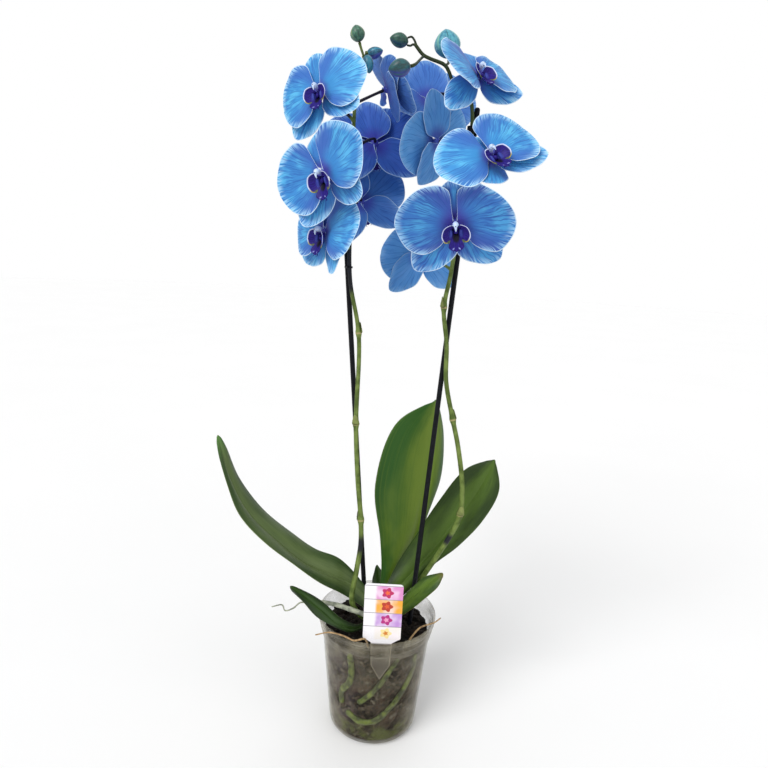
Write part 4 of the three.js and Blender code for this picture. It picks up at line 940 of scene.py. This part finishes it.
def add_bud_stalk(shape, bud, fork):
    """A short stalk to a bud. fork is how much of the darker colour at the top it has."""
    aim = unit(bud["point"])
    end = np.array(bud["at"]) - aim * (bud["long"] / 2 + GAP)
    start = np.array(bud["stalk"], float)
    stalk = even(bezier(start, mix(start, end, 0.4), end - aim * 5, end, 30), 16)
    radius = BUD_STALK_RADIUS + 0.3 * np.exp(-((np.linspace(0, 1, 16) - 1) / 0.2) ** 2)
    points, faces, along, turn = tube(stalk, radius, 12, (True, False))
    shape.add(points, faces, fork=fork, along=along * 20, turn=turn)


def build_spike(side):
    """Flower stem with its rings and bracts, a stalk to every bloom and bud, and the right one's fork."""
    shape = Shape("dark", "ring", "stain", "fork", "along", "turn")
    path = through(SPIKES[side]["path"], 260)
    length = np.linalg.norm(np.diff(path, axis=0), axis=1).sum()
    radii = add_stem(shape, side, path, length)
    for number, height in enumerate(SPIKES[side]["nodes"]):
        add_bract(shape, path, radii, length, number, height)
    for name, bloom in BLOOMS.items():
        if name.startswith(side):
            add_flower_stalk(shape, path, bloom)
    for name, bud in BUDS.items():
        if name.startswith(side) and bud["stalk"]:
            add_bud_stalk(shape, bud, 0.9 if side == "right" else 0.3)
    for strand in FORK if side == "right" else ():
        points, faces, along, turn = tube(through(strand, 16), np.linspace(*FORK_RADII, 16), 12)
        shape.add(points, faces, fork=0.95, stain=0.5, along=along * 12, turn=turn)
    shape.piece(f"stems_{side}", "stem_green", FINISHES["stem"], f"spike_{side}")


# Stakes and the clips that hold the spikes to them
STAKES = {
    "left": [(-8, 17, 62), (-27, 12, 274), (-47, 7, 497)],
    "right": [(31, 1, 62), (35, 1, 127), (49, 4, 356), (65, 4.5, 612)],
}
STAKE_RADIUS = 2.45
# Clips: height, half the band's height, and its distance from the middle of the stem or stake
CLIPS = {"left": dict(height=470, tall=0.9, reach=2.9), "right": dict(height=594, tall=2.9, reach=4.2)}
CLIP_SIDES = 48
# Section of a band: share of its half height, and distance in from its outer face
CLIP_SECTION = [(-1, 0.7), (-1, 0.1), (-0.9, 0), (0.9, 0), (1, 0.1), (1, 0.7), (0.9, 0.8), (-0.9, 0.8)]


def build_stake(side):
    """Stake: a plain dark rod with round ends."""
    path = through(STAKES[side], 60)
    shape = Shape()
    points, faces, _, _ = tube(path, STAKE_RADIUS, 20)
    shape.add(points, faces)
    shape.piece(f"stake_rod_{side}", "stake_black", FINISHES["stake"], f"stake_{side}")


def build_clip(side):
    """Clip: a thin band round stem and stake."""
    height, tall, reach = CLIPS[side]["height"], CLIPS[side]["tall"], CLIPS[side]["reach"]
    stem, stake = (through(points, 300) for points in (SPIKES[side]["path"], STAKES[side]))
    stem, stake = stem[at_height(stem, height)], stake[at_height(stake, height)]
    forward = unit((stake - stem) * [1, 1, 0])
    across = np.array([-forward[1], forward[0], 0])
    turns = (np.arange(CLIP_SIDES) + 0.5) / CLIP_SIDES * 2 * np.pi
    rings = []
    for lift, inset in CLIP_SECTION:
        middle = np.where((np.cos(turns) < 0)[:, None], stem, stake) * [1, 1, 0] + UP * (height + lift * tall)
        ring = np.outer(np.cos(turns), forward) + np.outer(np.sin(turns), across)
        rings.append(middle + (reach - inset) * ring)
    shape = Shape()
    shape.add(np.vstack(rings), ring_faces(len(rings), CLIP_SIDES, capped=False))
    shape.piece(f"clip_band_{side}", "clip_black", FINISHES["clip"], f"clip_{side}")


# Leaves: each is spanned by its left edge, midrib and right edge. Finish: dark, light, midrib and rim colours,
# gloss, and a colour for the tip or none.
LEAVES = {
    "leaf_left": dict(
        arch=2.5, finish=("30461e", "5e7040", "66784a", "98a478", 0.12, "4f8038"),
        left=[(-157, -32, 310), (-153, -36, 291), (-144, -42, 266), (-131, -47, 241), (-106, -48, 214),
              (-79, -42, 190), (-57, -28, 167), (-34, -6, 142), (-8, 0, 122)],
        middle=[(-156, -32, 312), (-152, -32, 296), (-143, -32, 266), (-127, -30, 235), (-99, -26, 205),
                (-74, -17, 179), (-50, -8, 164), (-27, 2, 149), (-5, 4, 128)],
        right=[(-155, -32, 314), (-149, -26, 299), (-139, -16, 265), (-118, -6, 230), (-87, -2, 204),
               (-65, 2, 187), (-43, 6, 177), (-25, 8, 160), (-5, 7, 134)]),
    "leaf_upright": dict(
        arch=4, finish=("24500f", "5f7620", "5a6e28", "4f7030", 0.1, None),
        left=[(47, 39, 340), (9, 32, 315), (-9, 30, 248), (-1, 30, 189), (2, 29, 153), (1, 21, 131),
              (-1, 9, 120)],
        middle=[(49, 40, 341), (49, 43, 296), (45, 44, 241), (35, 40, 189), (22, 35, 155), (11, 26, 135),
                (3, 11, 120)],
        right=[(51, 41, 339), (61, 54, 299), (60, 56, 248), (45, 52, 205), (30, 43, 164), (19, 30, 137),
               (7, 12, 120)]),
    "leaf_right": dict(
        arch=2, finish=("22360e", "47601f", "4e652a", "5a6e34", 0.05, None),
        left=[(108, 17, 288), (83, 25, 273), (57, 30, 233), (36, 31, 194), (19, 26, 165), (10, 17, 148),
              (4, 9, 132)],
        middle=[(110, 15, 288), (97, 16, 257), (79, 18, 224), (59, 19, 191), (39, 18, 164), (20, 14, 141),
                (6, 7, 124)],
        right=[(111, 15, 287), (115, 6, 259), (102, 5, 227), (80, 6, 198), (55, 11, 171), (28, 13, 136),
               (8, 6, 119)]),
    "leaf_small_right": dict(
        arch=1, finish=("2a4410", "557024", "5f7a34", "8a7434", 0.1, "5a5020"),
        left=[(62, -15, 178), (45, -8, 168), (33, -5, 153), (20, -2, 135), (6, 0, 122)],
        middle=[(63, -16, 178), (51, -14, 166), (38, -12, 151), (24, -7, 131), (5, -1, 116)],
        right=[(64, -17, 176), (57, -22, 164), (44, -20, 149), (26, -12, 127), (4, -2, 111)]),
    "leaf_low_left": dict(
        arch=1, finish=("172a0d", "2f4a1a", "48602c", "98a37c", 0.15, None),
        left=[(-84, -40, 165), (-72, -46, 157), (-56, -47, 141), (-40, -43, 130), (-26, -34, 119),
              (-8, -12, 113)],
        middle=[(-85, -38, 167), (-72, -40, 160), (-54, -42, 147), (-38, -42, 133), (-23, -31, 121),
                (-6, -7, 115)],
        right=[(-84, -37, 168), (-69, -34, 160), (-51, -35, 149), (-34, -36, 135), (-19, -26, 123),
               (-4, -3, 117)]),
    "leaf_rear": dict(
        arch=0.5, finish=("1a300e", "34501e", "48602c", "5f7044", 0.1, None),
        left=[(-4, 42, 151), (-7, 33, 140), (-5, 22, 126), (-3, 10, 108)],
        middle=[(-3, 43, 152), (0, 36, 140), (1, 25, 126), (1, 11, 107)],
        right=[(-2, 42, 152), (7, 35, 142), (8, 24, 127), (5, 11, 108)]),
}


def build_leaf(name, leaf):
    """Leaf: thick along its creased midrib, thin at its rim, with a rounded tip."""
    rows, columns = 64, 33
    s = mix(0.002, 0.99, (spread(rows, 1.3) + 1) / 2)
    t = spread(columns, 1.35)[None]
    rib, left, right = (curve_at(leaf[key], s) for key in ("middle", "left", "right"))
    tangent = unit(np.gradient(rib, axis=0))
    middle = np.zeros((rows, columns, 3))
    taper = np.sqrt(np.clip(s / 0.03, 0, 1)) * 0.999 + 0.001
    for j, across in enumerate(t[0]):
        span = (left if across < 0 else right) - rib
        out = unit(np.cross(tangent, span)) * (-1 if across < 0 else 1)
        width = np.linalg.norm(span, axis=1)
        bow = leaf["arch"] * 4 * abs(across) * (1 - abs(across)) * np.sin(np.pi * s)
        crease = -0.8 * np.exp(-(across * width / 2.0) ** 2) * np.sin(np.pi * s) ** 0.5
        wave = 0.5 * across ** 4 * np.sin(s * 17 + 2 * np.sign(across))
        middle[:, j] = rib + span * abs(across) * taper[:, None] + out * (bow + crease + wave)[:, None]
    thickness = mix(0.5, 1.7, (1 - np.abs(t)) ** 0.7) * np.ones((rows, 1))
    points, faces, place, side = closed_sheet(middle, thickness)
    shape = Shape("across", "along", "front")
    grid = np.ones((rows, columns))
    shape.add(points, faces, across=(t * grid).ravel()[place], along=(s[:, None] * grid).ravel()[place], front=side)
    shape.piece(f"{name}_blade", "leaf_green", leaf_finish(name, *leaf["finish"]), name)


POT_WALL = 1.3
WALL_ROOT_SPREAD = 1.75  # pressed flat against the wall


def on_wall(*places):
    """Points just inside the front wall of the pot, for the middle of a root, from their places across and up."""
    points = []
    for x, z in places:
        reach = mix(45.4, 55, (z - 9) / 95) - POT_WALL - GAP - 2
        points.append((x, -math.sqrt(reach * reach - x * x), z))
    return points


# Roots: a thick air root, a thin curled one, dry ones at the rim and green ones along the wall. Each has its
# finish, its radius at both ends and its path.
ROOTS = {
    "root_air": ("root_grey", (2.6, 2.3), [(1, -4, 112), (-3, -16, 124), (-14, -23, 133), (-27, -21, 136),
                                           (-42, -10, 133.5), (-58, 3, 127.6)]),
    "root_curled": ("root_grey", (1.1, 0.6), [(-36, -6, 104), (-48, -9, 116), (-60, -14, 130), (-76, -20, 140),
                                              (-84, -20, 133), (-92, -20, 130), (-95, -20, 136), (-105, -21, 134)]),
    "root_dry_left": ("root_dry", (1, 0.6), [(-6, -42, 105), (-8, -47, 117), (-11, -53, 125.6), (-20, -57, 126),
                                             (-32, -50, 126), (-45, -48, 127), (-57, -53, 127)]),
    "root_dry_right": ("root_dry", (1, 0.6), [(30, -30, 105), (36, -32, 118), (43, -30, 125.8),
                                              (52, -24, 126.2), (58, -20, 126.2), (64, -15, 128)]),
    "root_wall_1": ("root_green", (1.9, 1.9), on_wall((-24, 101), (-22, 85), (-24, 69), (-31, 55), (-31, 42))),
    "root_wall_2": ("root_green", (1.9, 1.6), on_wall((-24, 32), (-12, 27), (2, 29), (17, 43), (29, 60),
                                                      (38, 79), (40, 95))),
    "root_wall_3": ("root_green", (1.6, 1.4), on_wall((-13, 50), (-2, 62), (9, 78), (22, 100))),
}


def build_root(name, finish, ends, points):
    """Root: an uneven strand, flattened where it runs along the wall."""
    rng = random.Random(name)
    path = through(points, 70)
    f = np.linspace(0, 1, len(path))
    radii = mix(*ends, f) * (1 + 0.06 * np.sin(f * 31 + rng.uniform(0, 6)) + 0.04 * np.sin(f * 73))
    body, faces, share, _ = tube(path, radii, 14)
    if "wall" in name:
        centre = np.stack([np.interp(share, f, path[:, k]) for k in range(3)], axis=1)
        inward = unit(centre * [1, 1, 0])
        depth = ((body - centre) * inward).sum(axis=1, keepdims=True) * inward
        body = centre + depth + (body - centre - depth) * WALL_ROOT_SPREAD
    shape = Shape()
    shape.add(body, faces)
    shape.piece(f"{name}_strand", finish, FINISHES[finish], name)


# Pot, bark, crown and tag
POT_OUTSIDE = [(0, 0), (33, 0), (36.4, 0.1), (39.6, 0.9), (42.8, 2.6), (44.7, 5.4), (45.4, 9), (50.2, 56.5),
               (54.8, 102.4), (55.1, 104), (56.3, 105.2), (56.6, 106.4), (56.7, 109.6), (56.9, 110.8),
               (58, 111.8), (58.25, 113), (58.4, 116.6), (58.6, 117.8), (59.7, 118.8), (60, 120),
               (60, 123.8), (59.6, 124.4)]
POT_INSIDE = [(58.6, 124.4), (58.1, 123.8), (58, 120.4), (55.1, 110), (54.6, 106.4), (53.6, 104.6), (48.9, 56.5),
              (44.1, 9.4), (43, 5), (40, 2.6), (36.4, 1.6), (0, 1.5)]


def build_pot():
    """Pot: thin wall with a stepped rim. solid is more at the rim and floor, where the plastic is denser."""
    profile = POT_OUTSIDE + POT_INSIDE
    points, faces = lathe(profile, 128)
    heights = points[:, 2]
    solid = smooth(heights, 102, 106) * 0.8 + smooth(heights, 7, 2) * 0.7
    shape = Shape("turn", "height", "solid")
    shape.add(points, faces, turn=np.arctan2(points[:, 1], points[:, 0]), height=heights, solid=solid)
    shape.piece("pot_wall", "clear_pot", FINISHES["pot"], "pot")


BARK_PROFILE = [(0, 1.8), (36, 1.8), (40, 3), (42.6, 5.6), (43.7, 10), (52.9, 104), (52.4, 107), (36, 108),
                (0, 110)]
BARK_STEP = 2.5
BARK_CHIPS, CHIPS_REACH, CHIPS_WALL, CHIPS_HEIGHT = 150, 49, 52.6, 108
FOOT_DENT, ROOT_DENT = 4.6, 3.4  # how far the bark keeps clear of the tag's foot and of the wall roots


def chip(rng, size):
    """A rough block of bark, its corners and faces uneven."""
    round_points, faces = ellipsoid((0.5, 0.5, 0.5), (0, 0, 0), 10, 6)
    blocky = np.sign(round_points) * np.abs(round_points) ** 0.6
    jitter = np.array([[rng.uniform(-0.05, 0.05) for _ in range(3)] for _ in blocky])
    return (blocky + jitter) * size, faces


def build_bark():
    """Bark: an uneven turned body behind the wall, with loose chips on its top."""
    fine = [BARK_PROFILE[0]]
    for (r0, z0), (r1, z1) in zip(BARK_PROFILE, BARK_PROFILE[1:]):
        steps = max(int(math.hypot(r1 - r0, z1 - z0) / BARK_STEP), 1)
        fine += [(mix(r0, r1, k / steps), mix(z0, z1, k / steps)) for k in range(1, steps + 1)]
    fine[-1] = BARK_PROFILE[-1]
    points, faces = lathe(fine, 160)
    rng = random.Random("bark")
    waves = [(rng.uniform(0.2, 0.6), rng.uniform(-1, 1), rng.uniform(0, 6)) for _ in range(6)]
    turn, height = np.arctan2(points[:, 1], points[:, 0]), points[:, 2]
    below_top = height < 106
    dent = sum(np.sin(k * height * 2 + turn * round(9 + 22 * a) + c) for k, a, c in waves) / 6
    around = np.hypot(points[:, 0], points[:, 1])
    points[:, :2] *= (1 - 0.9 * (dent + 1) / 2 / np.maximum(around, 5) * below_top)[:, None]
    front = points[:, 1] < 0
    pull = FOOT_DENT * (1 - smooth(np.abs(points[:, 0] - TAG_AT[0]), 9, 13)) * smooth(height, 72, 80) * front
    for finish, _, root in ROOTS.values():
        if finish == "root_green":
            path = through(root, 90)
            near = np.linalg.norm((points[:, None] - path[None])[..., [0, 2]], axis=-1).min(axis=1)
            pull = np.maximum(pull, ROOT_DENT * (1 - smooth(near, 2.6, 6)) * front)
    around = np.hypot(points[:, 0], points[:, 1])
    points[:, :2] *= (1 - pull / np.maximum(around, 5) * below_top * smooth(around, 20, 40))[:, None]
    # top carries the painted shade on the bark's top and its chips; side carries the painted light on its left
    shape = Shape("top", "side", "low")
    shape.add(points, faces, top=smooth(height, 103, 107), side=points[:, 0] / 50, low=smooth(height, 34, 14))
    for i in range(BARK_CHIPS):
        reach, turn = CHIPS_REACH * math.sqrt((i + 0.5) / BARK_CHIPS), i * GOLDEN_TURN
        block, block_faces = chip(rng, np.array([rng.uniform(6, 14), rng.uniform(4, 9), rng.uniform(2.5, 6)]))
        tilt = Matrix.Rotation(rng.uniform(-0.6, 0.6), 3, "X") @ Matrix.Rotation(rng.uniform(-0.5, 0.5), 3, "Y")
        turned = np.array(Matrix.Rotation(rng.uniform(0, 3.14), 3, "Z") @ tilt)
        centre = np.array([reach * math.cos(turn), reach * math.sin(turn), CHIPS_HEIGHT + rng.uniform(-1, 2.5)])
        block = block @ turned.T + centre
        wall = np.hypot(block[:, 0], block[:, 1])
        block[:, :2] *= np.minimum(1, CHIPS_WALL / np.maximum(wall, 1))[:, None]
        shape.add(block, block_faces, top=1)
    shape.piece("bark_chips", "bark_chips", FINISHES["bark"], "bark")


TAG_AT, TAG_MIDDLE, TAG_LEAN = (5.5, -48.6, TAG_BASE), 132, 0.05
TAG_LAYERS = [(-0.4, 0.15), (-0.28, 0), (0.28, 0), (0.4, 0.15)]  # depth through the card, and bevel of its edge


def build_crown():
    """Crown: a short stem, thicker below, with soft rings."""
    path = through([(0, 4, 84), (0, 4, 100), (1, 4, 124), (2, 5, 144)], 30)
    f = np.linspace(0, 1, 30)
    radii = mix(10, 6.5, f ** 2) * (1 + 0.03 * np.sin(f * 40))
    points, faces, _, _ = tube(path, radii, 28)
    shape = Shape()
    shape.add(points, faces)
    shape.piece("crown_stem", "crown_green", FINISHES["crown"], "crown")


def build_tag():
    """Tag: a thin rounded card with a pointed foot, leaning a little to the front."""
    outline = [(0, TAG_AT[2]), (9, 96), (10, 121)]
    for centre, start, radius in (((16, 127), -90, 2), ((15, 181), 0, 3)):
        for k in range(7):
            a = math.radians(start + 15 * k)
            outline.append((centre[0] + radius * math.cos(a), centre[1] + radius * math.sin(a)))
    outline += [(-x, z) for x, z in outline[:0:-1]]
    points = []
    for depth, inset in TAG_LAYERS:
        for x, z in outline:
            up = TAG_MIDDLE + (z - TAG_MIDDLE) * (1 - inset / 52) - TAG_AT[2]
            points.append((TAG_AT[0] + x * (1 - inset / 18),
                           TAG_AT[1] + depth * math.cos(TAG_LEAN) - up * math.sin(TAG_LEAN),
                           TAG_AT[2] + depth * math.sin(TAG_LEAN) + up * math.cos(TAG_LEAN)))
    u, v = (np.tile([point[k] for point in outline], len(TAG_LAYERS)) for k in (0, 1))
    *rims, front, back = ring_faces(len(TAG_LAYERS), len(outline))
    shape = Shape("u", "v", "front")
    shape.add(points, [front[::-1], back[::-1]] + [(a, d, c, b) for a, b, c, d in rims], u=u, v=v,
              front=np.repeat([1, 1, 0, 0], len(outline)))
    shape.piece("tag_card", "tag_card", FINISHES["tag"], "tag", flat=True)


# Camera, light and floor
CAMERA_AT, CAMERA_TURNS, CAMERA_LENS = (0, -0.58097, 0.47936), (-0.482, -11.421, -2.921), 36 * 620 / 768
# Suns: strength, apparent size, tilt from straight down, and turn
SUNS = {"key": (2.0, 35, 48, -38), "fill": (0.6, 60, 62, 42), "back": (0.4, 60, 50, 170)}
SKY_LIGHT, BACKDROP = 0.5, 1.0


def build_camera():
    """Camera: fitted to the photograph, turned by yaw, pitch and roll."""
    yaw, pitch, roll = (math.radians(a) for a in CAMERA_TURNS)
    ahead = Vector((math.sin(yaw) * math.cos(pitch), math.cos(yaw) * math.cos(pitch), math.sin(pitch)))
    level = Vector((math.cos(yaw), -math.sin(yaw), 0))
    above = level.cross(ahead)
    right = level * math.cos(roll) - above * math.sin(roll)
    up = level * math.sin(roll) + above * math.cos(roll)
    data = bpy.data.cameras.new("camera")
    data.sensor_width = 36
    data.lens = CAMERA_LENS
    data.clip_start = 0.01
    camera = bpy.data.objects.new("camera", data)
    camera.matrix_world = Matrix.Translation(CAMERA_AT) @ Matrix((right, up, -ahead)).transposed().to_4x4()
    bpy.context.scene.collection.objects.link(camera)
    bpy.context.scene.camera = camera


def build_light():
    """Three wide suns, soft light all round, and a white backdrop that lights nothing."""
    for name, (strength, size, tilt, turn) in SUNS.items():
        data = bpy.data.lights.new(name, "SUN")
        data.energy = strength
        data.angle = math.radians(size)
        lamp = bpy.data.objects.new(name, data)
        lamp.rotation_euler = (math.radians(tilt), 0, math.radians(turn))
        bpy.context.scene.collection.objects.link(lamp)
    world = bpy.data.worlds.new("studio")
    world.use_nodes = True
    nodes, links = world.node_tree.nodes, world.node_tree.links
    light, paper = nodes["Background"], nodes.new("ShaderNodeBackground")
    for background, strength in ((light, SKY_LIGHT), (paper, BACKDROP)):
        background.inputs["Color"].default_value = (1, 1, 1, 1)
        background.inputs["Strength"].default_value = strength
    chosen = nodes.new("ShaderNodeMixShader")
    links.new(nodes.new("ShaderNodeLightPath").outputs["Is Camera Ray"], chosen.inputs[0])
    links.new(light.outputs[0], chosen.inputs[1])
    links.new(paper.outputs[0], chosen.inputs[2])
    links.new(chosen.outputs[0], nodes["World Output"].inputs["Surface"])
    bpy.context.scene.world = world
    bpy.context.scene.view_settings.view_transform = "Standard"


FLOOR_RADIUS, FLOOR_THICKNESS = 9000, 2


def build_floor():
    """A plain pale floor with a faint unevenness."""
    f = Finish("floor", Roughness=0.9, Specular_IOR_Level=0.1)
    grain = f.noise(f.position(), 3.0, 2.0)
    f.colour(f.blend(grain, "f4f4f4", "f7f7f7"))
    points, faces = lathe([(0, -FLOOR_THICKNESS), (FLOOR_RADIUS, -FLOOR_THICKNESS), (FLOOR_RADIUS, 0), (0, 0)], 64)
    mesh = bpy.data.meshes.new("floor")
    mesh.from_pydata((points * MM).tolist(), [], faces)
    mesh.materials.append(f.material)
    floor = bpy.data.objects.new("floor", mesh)
    bpy.context.scene.collection.objects.link(floor)


build_camera()
build_light()
build_floor()
build_pot()
build_bark()
build_crown()
build_tag()
for name, leaf in LEAVES.items():
    build_leaf(name, leaf)
for side in ("left", "right"):
    build_spike(side)
    build_stake(side)
    build_clip(side)
for name, (finish, ends, points) in ROOTS.items():
    build_root(name, finish, ends, points)
for name, bloom in BLOOMS.items():
    build_tepals(name, bloom)
    build_column(name, bloom)
    build_lip(name, bloom)
for name, bud in BUDS.items():
    build_bud(name, bud)
